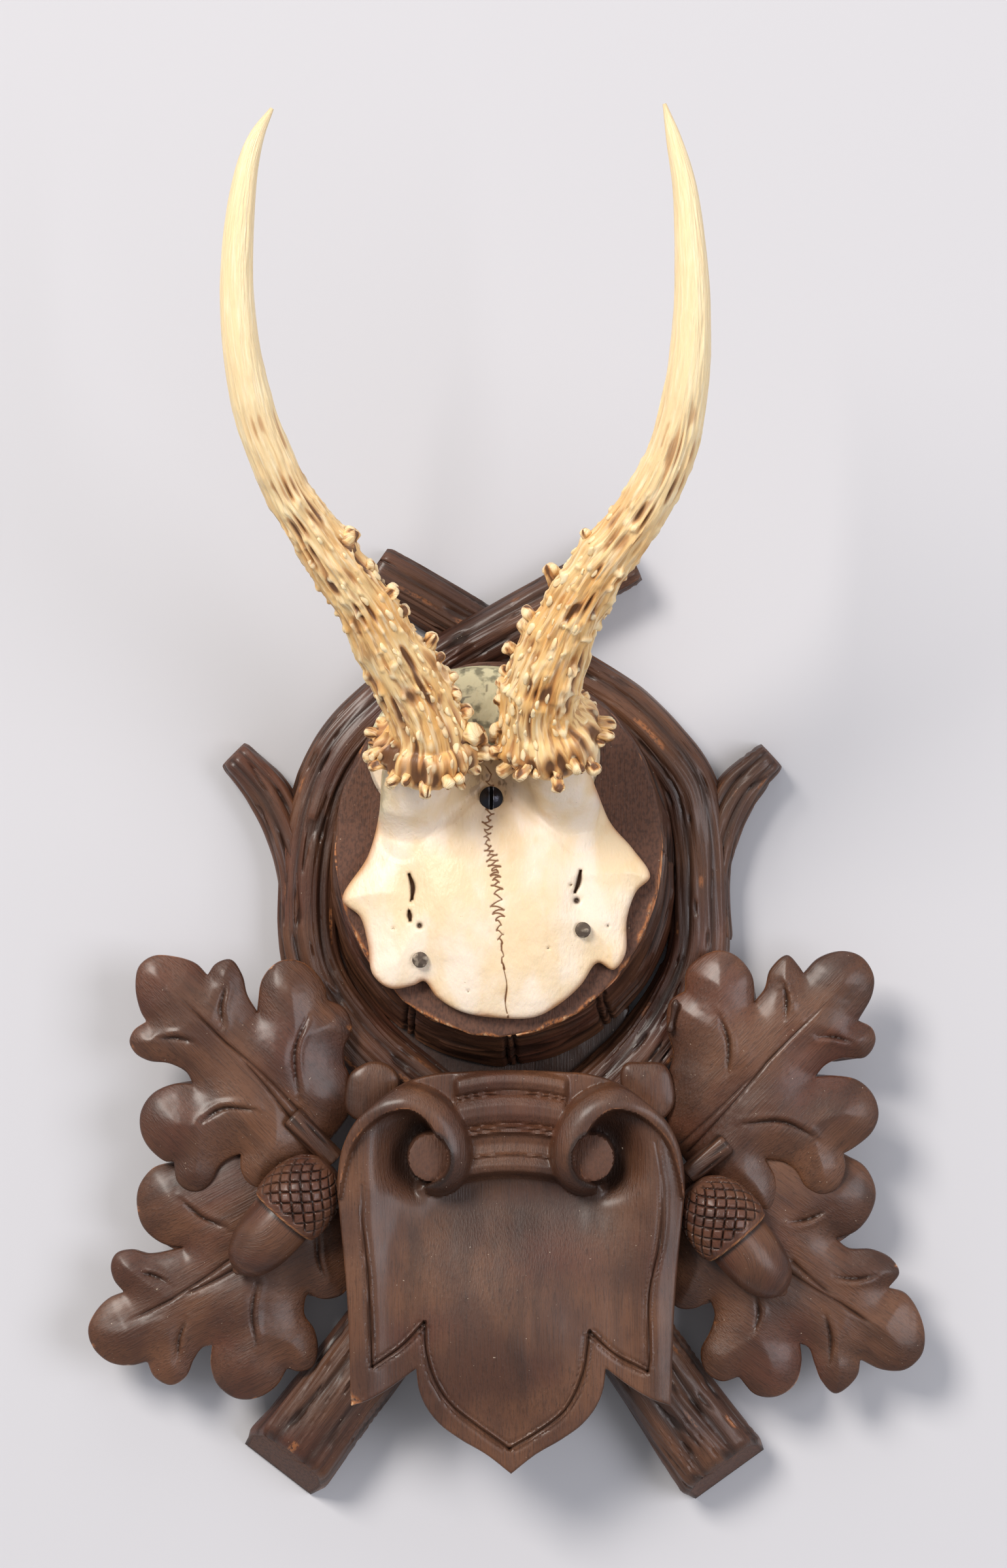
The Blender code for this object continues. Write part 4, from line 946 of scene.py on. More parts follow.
@dataclass
class OakSpray:
    """Two oak leaves, a lobe of a third and an acorn with its stalk.

    Attributes:
        hand: The side that it hangs on.
        leaves: Its two leaves.
        lobe: Outline of the third leaf's lobe.
        lobe_centre: Point that the lobe's undercut aims at.
        acorn: Its acorn.
        glue: Ends of its runs of glue.
    """

    hand: Hand
    leaves: tuple[OakLeaf, ...]
    lobe: Sequence[Pair]
    lobe_centre: Pair
    acorn: Acorn
    glue: tuple[tuple[Sequence[float], Sequence[float]], ...] = ()

    def glue_bead(self, low: Sequence[float], high: Sequence[float]) -> Surface:
        """Builds a run of old glue between two points of x, height and depth."""
        length = float(np.linalg.norm(np.subtract(high, low)))
        profile = [(0.05, 0.0), (0.8, 0.5), (1.0, 1.6), (0.55, 0.35 * length), (0.75, 0.6 * length),
                   (1.1, length - 1.5), (0.7, length - 0.4), (0.05, length)]

        def plain(turn: Array, run: Array, radius: Array) -> tuple[Array, dict[str, Array]]:
            """Smooth, shiny and reddish dark."""
            # Its own dark tone, laid through the same mask as the painted shade.
            return 0 * run, {"hollow": 0.55 + 0 * run, "wear": 0.1 + 0 * run, "raw": 0 * run}

        return turned(profile, low, high, 20, plain)

    def spare_lobe(self) -> Surface:
        """Builds the part of the third leaf that shows beside the shield."""

        def front(flat: Array, edge: Array) -> tuple[Array, dict[str, Array]]:
            """Domed lobe."""
            depth = 22.4 + 1.6 * (1 - np.exp(-edge / 3)) + 0.15 * noise(lift(flat), 4, 61)
            return depth, {"wear": 0.45 * np.exp(-edge / 0.5), "hollow": 0.12 + 0 * edge, "raw": 0 * edge}

        outline = curve(self.lobe, 8, closed=True)
        return Panel(outline, 0.7, 0.8, 3.5, lambda p: 17.6 + 0 * p[:, 0], self.lobe_centre, 0.9).build(front)

    def build(self, stained: bpy.types.Material) -> bpy.types.Object:
        """Builds and dresses the spray."""
        nut = self.acorn.build()
        for part in nut:
            part.points[:, 2] = np.maximum(part.points[:, 2], ACORN_BACK)
        parts = [leaf.build() for leaf in self.leaves] + [self.spare_lobe()] + nut
        parts += [self.glue_bead(*ends) for ends in self.glue]
        return make_object(f"{self.hand.name.lower()}_oak_leaves_and_acorn", joined(parts), stained)


# Shield


@dataclass
class ScrollShield:
    """Shield with two scrolls at its head, mouldings between them and an incised border."""

    half: tuple[Pair, ...] = (
        (0.0, -62.4), (12.0, -62.8), (22.4, -63.7), (31.2, -66.6), (37.4, -71.0), (43.4, -76.6), (47.0, -84.0),
        (48.4, -93.0), (47.8, -103.0), (46.6, -115.0), (45.5, -129.0), (45.0, -142.0), (44.6, -156.0),
    )
    notch: tuple[Pair, ...] = ((44.6, -156.0), (38.9, -153.8), (33.3, -150.6), (26.4, -145.4))
    point: tuple[Pair, ...] = (
        (26.4, -145.4), (25.6, -151.4), (23.6, -156.3), (19.9, -161.0), (14.2, -165.2), (6.9, -169.5), (0.0, -174.9),
    )
    band: tuple[tuple[float, ...], ...] = (
        (-46.3, -97.0, 0.2, 0.7), (-45.6, -90.0, 0.4, 1.3), (-43.9, -82.0, 1.7, 2.2), (-40.0, -75.6, 3.3, 3.0),
        (-33.6, -71.2, 4.9, 3.0), (-25.6, -69.8, 5.7, 3.2), (-19.2, -73.0, 6.0, 3.6), (-15.0, -79.0, 6.0, 3.9),
        (-13.4, -85.6, 5.8, 3.9), (-14.6, -91.2, 4.6, 3.5), (-17.6, -94.6, 2.4, 2.3), (-21.8, -95.4, -0.4, 1.0),
    )
    head: tuple[Pair, ...] = (
        (-62.2, 0.4), (-63.4, 2.6), (-65.4, 3.1), (-67.2, 2.2), (-67.9, 0.9), (-68.4, 1.6), (-68.9, 0.7),
        (-69.6, 1.6), (-71.6, 2.9), (-74.4, 2.9), (-76.4, 1.9), (-77.2, 1.0), (-77.9, 2.9), (-78.6, 2.1),
        (-79.3, 2.9), (-80.4, 1.0), (-82.6, 0.4), (-84.9, 0.9), (-85.7, 1.9), (-86.3, 1.2), (-88.4, 2.3),
        (-90.2, 1.9), (-91.0, 0.2), (-91.8, -3.2), (-93.4, -4.2),
    )
    lines: tuple[tuple[Pair, ...], ...] = (
        ((-39.3, -94.4), (-39.3, -104.2), (-37.7, -118.8), (-37.0, -132.6), (-36.6, -144.9)),
        ((-36.6, -144.9), (-28.4, -139.2), (-22.0, -132.6)),
        ((-22.0, -132.6), (-21.5, -140.8), (-18.6, -149.8), (-13.8, -156.3), (-6.6, -162.0), (1.6, -168.0)),
        ((1.6, -168.0), (8.9, -163.6), (17.1, -157.1), (22.0, -147.2), (24.0, -135.2)),
        ((24.0, -135.2), (31.7, -141.9), (40.2, -146.3)),
        ((40.2, -146.3), (40.6, -143.2), (40.6, -124.5), (43.9, -108.2), (44.3, -94.4), (42.2, -82.2)),
    )
    eyes: tuple[Pair, ...] = ((-20.9, -86.6), (26.2, -87.2))
    eye_half: Pair = (6.0, 6.9)

    def outline(self) -> Array:
        """Outline with sharp corners at the foot."""
        pieces = [curve(part, 8)[:-1] for part in (self.half, self.notch, self.point)]
        right = np.vstack([*pieces, [self.point[-1]]])
        left = right[1:-1][::-1] * [-1, 1]
        return np.vstack([right, left]) + [SHIELD_AXIS, 0]

    def scroll(self, flat: Array, hand: Hand, depth: Array) -> tuple[Array, Array, Array, Array]:
        """Carves one scroll.

        Args:
            flat: Rows of x and height.
            hand: Which scroll.
            depth: Depths so far.

        Returns:
            The new depths, the painted shade and the wear of each place, and the share of it on the scroll's eye.
        """
        mirrored = flat.copy()
        if hand is Hand.RIGHT:
            mirrored[:, 0] = 2 * SHIELD_AXIS - mirrored[:, 0]
        path = curve(self.band, 8)
        gap, share, side = path_distance(mirrored, path)
        place = share * (len(path) - 1)
        run = np.concatenate([[0], np.cumsum(np.linalg.norm(np.diff(path[:, :2], axis=0), axis=1))])
        lift_at = np.interp(share, run / run[-1], path[:, 2])
        half = np.interp(share, run / run[-1], path[:, 3])
        across = -side * gap
        slope = np.clip((across / half + 1) / 2, 0, 1)
        face = SHIELD_DEPTH - 1.2 + lift_at + 3.4 * np.sin(slope * math.pi * 0.62) ** 0.8
        eye = np.array(self.eyes[0])
        off_x, off_height = mirrored[:, 0] - eye[0], mirrored[:, 1] - eye[1]
        ellipse = np.hypot(off_x / self.eye_half[0], off_height / self.eye_half[1])
        tail = path[-1, :2] - path[-3, :2]
        beyond = (mirrored - path[-1, :2]) @ tail / np.linalg.norm(tail)
        past = (place >= len(path) - 1.001) & (across < 0)
        clear = np.where(past, step(-0.5, 2.5, gap - half) * step(0, 3.5, beyond), step(-0.5, 2.5, across - half))
        clear *= step(-15.0, -4.0, off_height)
        pit = 5.6 * bell(np.clip(ellipse - 1.0, 0, None), 1.05) * clear
        # Painted shade in the pit round the eye.
        hollow = 0.85 * bell(np.clip(ellipse - 1.0, 0, None), 0.75) * clear
        depth = depth - pit
        outer = step(-half - 1.2, -half + 0.3, across)
        within = outer * (1 - step(half - 0.2, half + 0.9, across)) * (place < len(path) - 1.001)
        depth = depth * (1 - within) + np.maximum(face, depth) * within
        disc = SHIELD_DEPTH + 2.4 - 0.09 * off_x - 0.06 * off_height - 0.7 * ellipse**4
        on_eye = 1 - step(0.92, 1.05, ellipse)
        depth = depth * (1 - on_eye) + disc * on_eye
        # Painted shade in a thin ring round the eye, none on the band.
        hollow = np.maximum(hollow * (1 - within), bell(ellipse - 1.1, 0.1))
        wear = within * bell(across - half + 0.4, 0.45) * 0.7
        return depth, hollow * (1 - on_eye), wear, on_eye

    def front(self, flat: Array, edge: Array) -> tuple[Array, dict[str, Array]]:
        """Carving of the face.

        Args:
            flat: Rows of x and height.
            edge: Their distances to the edge.

        Returns:
            Depths, and the wear and the painted shade of each place.
        """
        x, height = flat[:, 0] - SHIELD_AXIS, flat[:, 1]
        spots = lift(flat)
        depth = SHIELD_DEPTH + 4.5 * bell(height + 138, 22) * bell(x, 26)
        depth -= 5.0 * bell(height + 97, 13) * np.exp(-((x / 30) ** 4))
        depth += 1.8 * bell(np.abs(x) - 40, 5)
        sagged = height + 1.6 * (x / 14) ** 2
        heights, lifts = np.array(self.head[::-1]).T
        moulded = SHIELD_DEPTH + np.interp(sagged, heights, lifts)
        between = (1 - step(14.5, 16.5, np.abs(x))) * step(-93.2, -92.2, sagged)
        depth = depth * (1 - between) + moulded * between
        hollow, wear, eyes = 0 * x, 0 * x, 0 * x
        for hand in Hand:
            depth, dark, bright, eye = self.scroll(flat, hand, depth)
            hollow, wear, eyes = np.maximum(hollow, dark), np.maximum(wear, bright), np.maximum(eyes, eye)
        for line in self.lines:
            gap, share, _ = path_distance(flat, curve(line, 8))
            sway = 0.12 * noise(spots, 5, 71)
            cut = bell(gap + sway, 0.42) + 0.4 * bell(gap - 1.25 + sway, 0.3) * (share > 0.02) * (share < 0.98)
            fade = step(-92, -112, height)
            depth -= 0.95 * cut * (0.35 + 0.65 * fade)
            # Painted shade in the incised lines, stronger on the lower field.
            hollow += cut * (0.25 + 0.5 * fade)
        depth += 0.2 * noise(spots, (9, 18, 9), 72) + 0.05 * noise(spots, (3, 7, 3), 73)
        # Painted shade: a broad band under the scrolls and a fainter one lower on the field, none on the eyes.
        hollow += (0.5 * bell(height + 98, 15) + 0.16 * bell(height + 125, 22)) * step(40, 22, np.abs(x)) * (1 - eyes)
        low_left = bell(np.hypot(x + 44.0, height + 155.0), 2.2)
        depth -= 1.4 * low_left * step(-0.3, 0.4, noise(spots, 1.5, 76))
        rub = 0.55 * np.exp(-edge / 0.5) * step(-0.2, 0.5, noise(spots, 7, 77))
        wear = np.clip(np.maximum(wear * step(-0.6, 0.5, noise(spots, 6, 78)), rub) + low_left, 0, 1)
        return depth, {"wear": wear, "hollow": np.clip(hollow, 0, 1.3), "raw": 0.55 * eyes}

    def build(self, stained: bpy.types.Material) -> bpy.types.Object:
        """Builds and dresses the shield."""
        panel = Panel(
            self.outline(), 0.56, 0.7, 4.0, lambda p: SHIELD_BACK + 0 * p[:, 0], (SHIELD_AXIS, -115.0), 0.8,
            [(curve(line, 8), 0.8) for line in self.lines],
        )
        return make_object("scroll_topped_shield", panel.build(self.front), stained)


# Skull plate and antlers


@dataclass
class SkullPlate:
    """Frontal bones of a roe buck with the feet of its pedicles, sawn off flat behind.

    Attributes:
        pedicles: Rows of x, height, depth and radius of each pedicle, from inside the skull upwards.
        outline: Places round the plate.
        centre: Point that its undercut and its doming aim at.
        suture: Middle line of the suture.
        crack: Crack that runs on from it to the lower edge.
        slits: Openings for the nerves above the eyes.
        pits: Small holes: x, height and size.
        screw: Seat of the screw.
        cap_centre: Middle of the braincase.
        cap_half: Its half width and half height.
        cap_grid: Points round it, and its rings.
        blend: How softly the pedicles grow out of the plate.
    """

    pedicles: Sequence[Sequence[Sequence[float]]]
    outline: tuple[Pair, ...] = (
        (-32.7, 23.6), (-34.5, 10.0), (-37.8, -2.5), (-44.9, -14.8), (-40.0, -19.5), (-37.8, -27.0),
        (-36.4, -35.5), (-31.5, -39.4), (-25.0, -38.5), (-22.1, -37.4), (-18.5, -41.8), (-12.1, -45.7),
        (-3.0, -47.5), (8.5, -47.4), (15.5, -43.8), (21.5, -38.5), (26.2, -32.3), (30.5, -34.3),
        (33.9, -30.0), (34.4, -20.0), (37.0, -12.5), (40.9, -8.3), (36.0, -0.5), (30.0, 6.5),
        (26.1, 15.1), (22.0, 24.0), (14.0, 31.0), (-4.0, 33.0), (-22.0, 31.0),
    )
    centre: Pair = (-3.0, -8.0)
    suture: tuple[Pair, ...] = (
        (-5.2, 24.3), (-3.8, 18.1), (-3.4, 13.6), (-3.8, 10.6), (-4.5, 1.5), (-2.5, -5.3), (-1.8, -12.2),
        (-1.4, -19.8), (-0.7, -27.4), (0.0, -33.5),
    )
    crack: tuple[Pair, ...] = ((0.0, -33.5), (0.9, -38.0), (0.5, -43.4), (1.3, -47.4))
    slits: tuple[tuple[Pair, ...], ...] = (
        ((-26.2, -7.6), (-25.2, -11.0), (-25.4, -14.4)), ((-26.2, -17.8), (-25.9, -20.4)),
        ((21.4, -6.6), (20.8, -10.0), (19.8, -12.6)),
    )
    pits: tuple[tuple[float, float, float], ...] = (
        (-23.3, -21.8, 0.9), (-25.6, -14.9, 0.5), (20.3, -14.9, 1.0), (18.6, -10.6, 0.35), (-9.8, -40.0, 0.3),
        (12.5, -28.0, 0.3), (-30.6, -22.6, 0.3), (29.0, -22.0, 0.35),
    )
    screw: Pair = (-3.4, 13.6)
    cap_centre: Pair = (-5.5, 26.0)
    cap_half: Pair = (32.6, 24.7)
    cap_grid: tuple[int, int] = (180, 46)
    blend: float = 9.0

    def seam(self) -> Array:
        """Meandering line of the suture, tightest in its middle."""
        middle = resample(curve(self.suture, 10), 0.12)
        share = np.linspace(0, 1, len(middle))
        way = np.gradient(middle, axis=0)
        way /= np.linalg.norm(way, axis=1)[:, None]
        side = np.column_stack([way[:, 1], -way[:, 0]])
        tight = bell(share - 0.55, 0.3)
        beat = np.cumsum(0.12 * (1.6 + 1.9 * tight) * (1 + 0.5 * noise(share[:, None] * [58, 0, 0], 3.3, 80)))
        spots = np.column_stack([beat, beat * 0, beat * 0])
        sway = (0.9 + 0.7 * tight) * (1 - 0.6 * step(0.8, 1.0, share)) * (0.8 + 0.6 * noise(spots, 5, 82))
        swing = sway * np.sin(beat + 0.9 * noise(spots, 9, 83)) + 0.25 * noise(spots, 2.2, 81)
        back = 0.36 * (1 - 0.3 * tight) * np.sin(2 * beat)
        return middle + side * swing[:, None] + way * back[:, None]

    def raised(self, flat: Array, depth: Array) -> Array:
        """Draws the bone up round the pedicles in one smooth sweep.

        Args:
            flat: Rows of x and height.
            depth: Depths without the pedicles.

        Returns:
            Depths with them.
        """
        for rows in self.pedicles:
            path = curve(np.array(rows[:4], float), 10)
            gap, share, _ = path_distance(flat, path)
            place = share * (len(path) - 1)
            middle = np.interp(place, np.arange(len(path)), path[:, 2])
            radius = np.interp(place, np.arange(len(path)), path[:, 3]) + 0.3
            round_part = np.sqrt(np.clip(radius**2 - gap**2, 0, None))
            stem = middle + round_part - 1.6 * np.clip(gap - 0.96 * radius, 0, None) - 0.5
            share_of_stem = np.clip(0.5 + 0.5 * (stem - depth) / self.blend, 0, 1)
            web = 0.55 * self.blend * share_of_stem * (1 - share_of_stem)
            depth = depth * (1 - share_of_stem) + stem * share_of_stem + web
        return depth

    def front(self, flat: Array, edge: Array) -> tuple[Array, dict[str, Array]]:
        """Modelling of the bone.

        Args:
            flat: Rows of x and height.
            edge: Their distances to the edge.

        Returns:
            Depths, and the stains and painted shade of each place.
        """
        x, height = flat.T
        spots = lift(flat)
        away = np.hypot(x - self.centre[0], height - self.centre[1])
        reach = away / (away + edge + 1e-6)
        depth = face_depth(height) + GAP + 4.5 + 8.0 * (1 - reach**2.4)
        depth -= 1.3 * bell(height + 14, 9) * (bell(x + 25.8, 4.5) + bell(x - 20.8, 4.5))
        depth += 0.9 * bell(height + 20, 14) * bell(np.abs(x + 1) - 12, 7)
        depth = self.raised(flat, depth)
        seam_gap, share, _ = path_distance(flat, self.seam())
        seam = bell(seam_gap, 0.26) * (0.85 + 0.3 * noise(spots, 3, 84)) * step(0.0, 0.03, share)
        split_gap, _, _ = path_distance(flat, curve(self.crack, 8))
        split = bell(split_gap + 0.15 * noise(spots, 2, 82), 0.26)
        holes = 0 * x
        for slit in self.slits:
            near, at_share, _ = path_distance(flat, curve(slit, 8))
            holes = np.maximum(holes, bell(near, 0.35 + 0.45 * np.sin(math.pi * np.clip(at_share, 0.1, 0.9))))
        for px, ph, size in self.pits:
            holes = np.maximum(holes, bell(np.hypot(x - px, height - ph), size))
        pores = step(0.72, 0.9, noise(spots, 0.9, 83)) * step(6, 1, edge)
        seat = bell(np.hypot(x - self.screw[0], height - self.screw[1]), 4.4)
        depth += 0.3 * noise(spots, 9, 84) + 0.1 * noise(spots, 3, 85) + 0.03 * noise(spots, (0.8, 3.4, 1), 86)
        depth -= 0.28 * seam + 0.5 * split + 1.6 * holes + 0.25 * pores + 0.4 * seat
        middle = bell(np.hypot((x + 3.2) / 13, (height - 17.5) / 9.5), 1.0)
        stain = 0.42 * bell(x + 3, 11) * step(-40, -8, height) * (0.5 + 0.5 * noise(spots, (5, 12, 5), 87))
        values = {
            "seam": np.clip(seam * 1.15 + split * 0.9, 0, 1),
            # Painted shade in the nerve slits, the pits and the pores.
            "pit": np.clip(holes * 1.1 + 0.35 * pores, 0, 1),
            "edge": np.exp(-edge / 1.1) * (0.55 + 0.5 * noise(spots, 5, 88)) + 0.3 * np.exp(-edge / 4.5),
            "stain": np.clip(stain + middle * (0.62 + 0.4 * noise(spots, 5, 89)) + 0.35 * step(17, 25, height), 0, 1),
            # From 24.5 mm up and along the left temple: the bone's grey-green tone with painted shade, where it lies
            # between, behind and beside the antlers.
            "aged": step(24.5, 29, height) + bell(x + 34, 3) * step(4, 12, height) * 0.6,
        }
        return depth, values

    def braincase(self) -> Surface:
        """Rounded bone between and behind the antlers; its upper part takes the grey-green tone and painted shade."""
        sides, rings = self.cap_grid
        turn = np.tile(np.linspace(0, 2 * math.pi, sides, endpoint=False), rings)
        reach = np.repeat(np.sin(np.linspace(math.pi / 2, 0.02, rings)), sides)
        x = self.cap_centre[0] + self.cap_half[0] * reach * np.cos(turn)
        height = self.cap_centre[1] + self.cap_half[1] * reach * np.sin(turn)
        dome = np.sqrt(np.clip(1 - reach**2, 0, 1))
        rise = 2.8 + 9.6 * dome - 7.5 * step(31, 15, height) * dome
        spots = np.column_stack([x, height, x * 0])
        rise += (0.35 * noise(spots, 6, 91) + 0.15 * noise(spots, 2, 92)) * dome
        shut = np.clip((reach - 0.97) / 0.03, 0, 1)
        depth = face_depth(height) + GAP + rise * (1 - shut)
        points = np.column_stack([x, height, depth])
        one = np.ones(len(x))
        # Its pores get painted shade.
        values = {"seam": 0 * one, "pit": 0.6 * step(0.6, 0.85, noise(spots, 1.6, 93)), "edge": 0.1 * one,
                  # From 24.5 mm up: grey-green tone with painted shade.
                  "stain": 0.25 * one, "aged": step(24.5, 29, height)}
        return grid(points, sides, points.copy(), values)

    def build(self) -> Surface:
        """Builds the plate and the braincase."""
        def back(place: Array) -> Array:
            """Depth of the boss's face with its gap."""
            return face_depth(place[:, 1]) + GAP

        lines = [(self.seam(), 0.3), (curve(self.crack, 8), 0.35)]
        lines += [(curve(slit, 8), 0.6) for slit in self.slits]
        panel = Panel(curve(self.outline, 8, closed=True), 0.52, 1.3, 4.45, back, self.centre, 0.985, lines)
        return joined([panel.build(self.front), self.braincase()])


@dataclass
class Antler:
    """Pedicle, ruffled coronet, pearled beam and smooth spike.

    Attributes:
        pedicle: Rows of x, height, depth and radius from inside the skull to the coronet.
        beam: The rows above it.
        knobs: Large outgrowths: x, height, depth, reach and radius.
        inner: Side that faces the other antler.
        seed: Picks its furrows.
        sides: Points round it.
        coronet_nubs: Nubs in the fringe of its coronet.
        girth: Mean radius that its furrows are laid out on.
    """

    pedicle: Sequence[Sequence[float]]
    beam: Sequence[Sequence[float]]
    knobs: Sequence[Sequence[float]]
    inner: float
    seed: float
    sides: int = 116
    coronet_nubs: int = 27
    girth: float = 7.0

    def nub(self, foot: Array, aim: Array, length: float, radius: float, seed: float) -> Surface:
        """Builds a blunt outgrowth of horn.

        Args:
            foot: Where it leaves the horn.
            aim: Its direction.
            length: How far it stands out.
            radius: Its radius.
            seed: Picks its dents.

        Returns:
            The closed surface.
        """
        profile = [(0.05, -2.2), (1.12, -2.0), (1.08, -0.4), (0.86, length * 0.35), (0.84, length * 0.6),
                   (0.8, length * 0.84), (0.5, length * 0.97), (0.05, length)]
        profile = [(wide * radius, run) for wide, run in profile]

        def relief(turn: Array, run: Array, wide: Array) -> tuple[Array, dict[str, Array]]:
            """Dents and folds, with bark stain at the foot and a pale tip."""
            place = np.column_stack([np.cos(turn) * 2, np.sin(turn) * 2, run + seed * 9])
            dent = noise(place, (1.6, 1.6, 2.6), 107) + 0.5 * noise(place, (0.8, 0.8, 1.5), 108)
            share = np.clip(run / length, 0, 1)
            values = {"share": 0.12 + 0 * run, "knob": step(0.3, 0.9, share) * step(-0.7, 0.3, dent),
                      "furrow": 0.9 * step(0.1, -0.6, dent) + 0.9 * (1 - step(0.0, 0.5, share)),
                      "pearls": 0 * run, "skull": 0 * run}
            return 0.42 * radius * dent * np.clip(wide / radius, 0, 1), values

        return turned(profile, foot, foot + aim, 18, relief, 0.6)

    def build(self) -> Surface:
        """Builds the antler."""
        stations = np.array([*self.pedicle, *self.beam], float)
        dense = curve(stations[:, [1, 0, 2, 3]], 24)[:, [1, 0, 2, 3]]
        run = np.concatenate([[0], np.cumsum(np.linalg.norm(np.diff(dense[:, :3], axis=0), axis=1))])
        places = np.linspace(0, run[-1], round(run[-1] / 0.56))
        path = np.column_stack([np.interp(places, run, dense[:, n]) for n in range(4)])
        run, way, across, other = sweep_frame(path[:, :3])
        collar = np.interp(self.pedicle[3][1], path[:, 1], run)
        rim = run[path[:, 3].argmax()]
        path[:, 3] *= (1 - 0.3 * step(collar - 0.5, collar - 5.0, run)) * (1 - 0.15 * bell(run - rim, 3.4))
        arc = np.linspace(math.pi / 2, 2.5 * math.pi, self.sides, endpoint=False)
        turn = np.tile(arc, len(run))
        s = np.repeat(run, self.sides)
        radius = np.repeat(path[:, 3], self.sides)
        above = s - collar
        wheel = np.column_stack([np.cos(turn), np.sin(turn)])
        share = np.clip(above / (run[-1] - collar), 0, 1)
        skin = np.column_stack([wheel * self.girth, s * 0.1 + self.seed * 30])
        coarse = 1 - 2.4 * np.abs(noise(skin, (1.3, 1.3, 1.0), 101 + self.seed))
        skin[:, 2] = s * 0.16 + self.seed * 30
        fine = noise(skin, (0.7, 0.7, 1.0), 102 + self.seed)
        skin[:, 2] = s * 0.38 + self.seed * 30
        pearled = step(0.22, 0.75, noise(skin, (1.5, 1.5, 1.0), 109))
        skin[:, 2] = s * 0.14
        short = step(-0.35, 0.35, noise(skin, (2.4, 2.4, 1.0), 110))
        on_beam = step(-1, 3, s - rim)
        rough = (1 - step(0.36, 0.74, share)) * on_beam
        collar_share = bell(s - rim, 4.0)
        ruffles = np.cos(21 * turn + 1.8 * noise(np.column_stack([wheel * 6, s * 0]), 2.2, 103 + self.seed))
        bead = noise(np.column_stack([wheel * 16, s]), (2.1, 2.1, 2.2), 104 + self.seed)
        extra = collar_share * (0.5 * ruffles + 0.9 * bead)
        extra += rough * (0.72 * coarse + 0.3 * fine + 0.95 * pearled * (1 - step(0.3, 0.6, share)))
        extra += on_beam * (1 - rough) * (0.08 * coarse + 0.04 * fine)
        extra += (1 - on_beam) * 0.18 * noise(np.column_stack([wheel * 9, s]), (2.2, 2.2, 6), 105)
        reach = radius + extra * np.clip(radius / 4, 0.12, 1)
        base = np.repeat(path[:, :3], self.sides, axis=0)
        outward = np.repeat(across, self.sides, axis=0) * wheel[:, :1]
        outward += np.repeat(other, self.sides, axis=0) * wheel[:, 1:]
        nubs = []
        for n, (x, height, depth, size, girth) in enumerate(self.knobs):
            place = np.array([x, height, depth])
            row = int(np.linalg.norm(path[:, :3] - place, axis=1).argmin())
            aim = place - path[row, :3]
            aim = aim / np.linalg.norm(aim)
            foot = path[row, :3] + aim * (path[row, 3] - 0.6)
            nubs.append(self.nub(foot, aim + 0.55 * way[row], 1.0 + 1.15 * size, girth, n + self.seed * 7))
            near = np.linalg.norm(base + outward * radius[:, None] - foot, axis=1)
            reach += 0.3 * size * np.exp(-((near / 4.2) ** 2))
        row = int(np.abs(run - rim).argmin())
        for n in range(self.coronet_nubs):
            angle = 2 * math.pi * (n + 0.5 * math.sin(n * 2.3)) / self.coronet_nubs
            out = across[row] * math.cos(angle) + other[row] * math.sin(angle)
            level = 1.5 * math.sin(n * 1.7 + self.seed)
            foot = path[row, :3] + out * (path[row, 3] - 2.4) + way[row] * level
            size = 1.0 + 0.26 * math.sin(n * 3.1 + self.seed)
            aim = out + way[row] * (0.12 * level - 0.25)
            nubs.append(self.nub(foot, aim, 5.4 * size, 1.85 * size, n * 3 + self.seed))
        points = base + outward * reach[:, None]
        inward = 0.5 + 0.5 * np.sign(self.inner) * outward[:, 0]
        low = 1 - step(0.05, 0.5, share)
        values = {
            "share": share,
            "furrow": np.clip(0.42 - coarse * 0.9, 0, 1) * rough * short
            + collar_share * np.clip(0.62 - ruffles * 0.5 - bead * 0.7, 0, 1),
            "knob": np.clip(pearled * rough * 0.9 + collar_share * np.clip(bead, 0, 1), 0, 1),
            "pearls": np.clip(on_beam * low * (0.1 + 0.9 * inward**1.5), 0, 1) * (s > rim + 1),
            "skull": 1 - step(-3.0, 0.5, above),
        }
        grain = np.column_stack([(turn - math.pi / 2) * self.girth, s, radius * 0 + self.seed * 9])
        return joined([grid(points, self.sides, grain, values), *nubs])


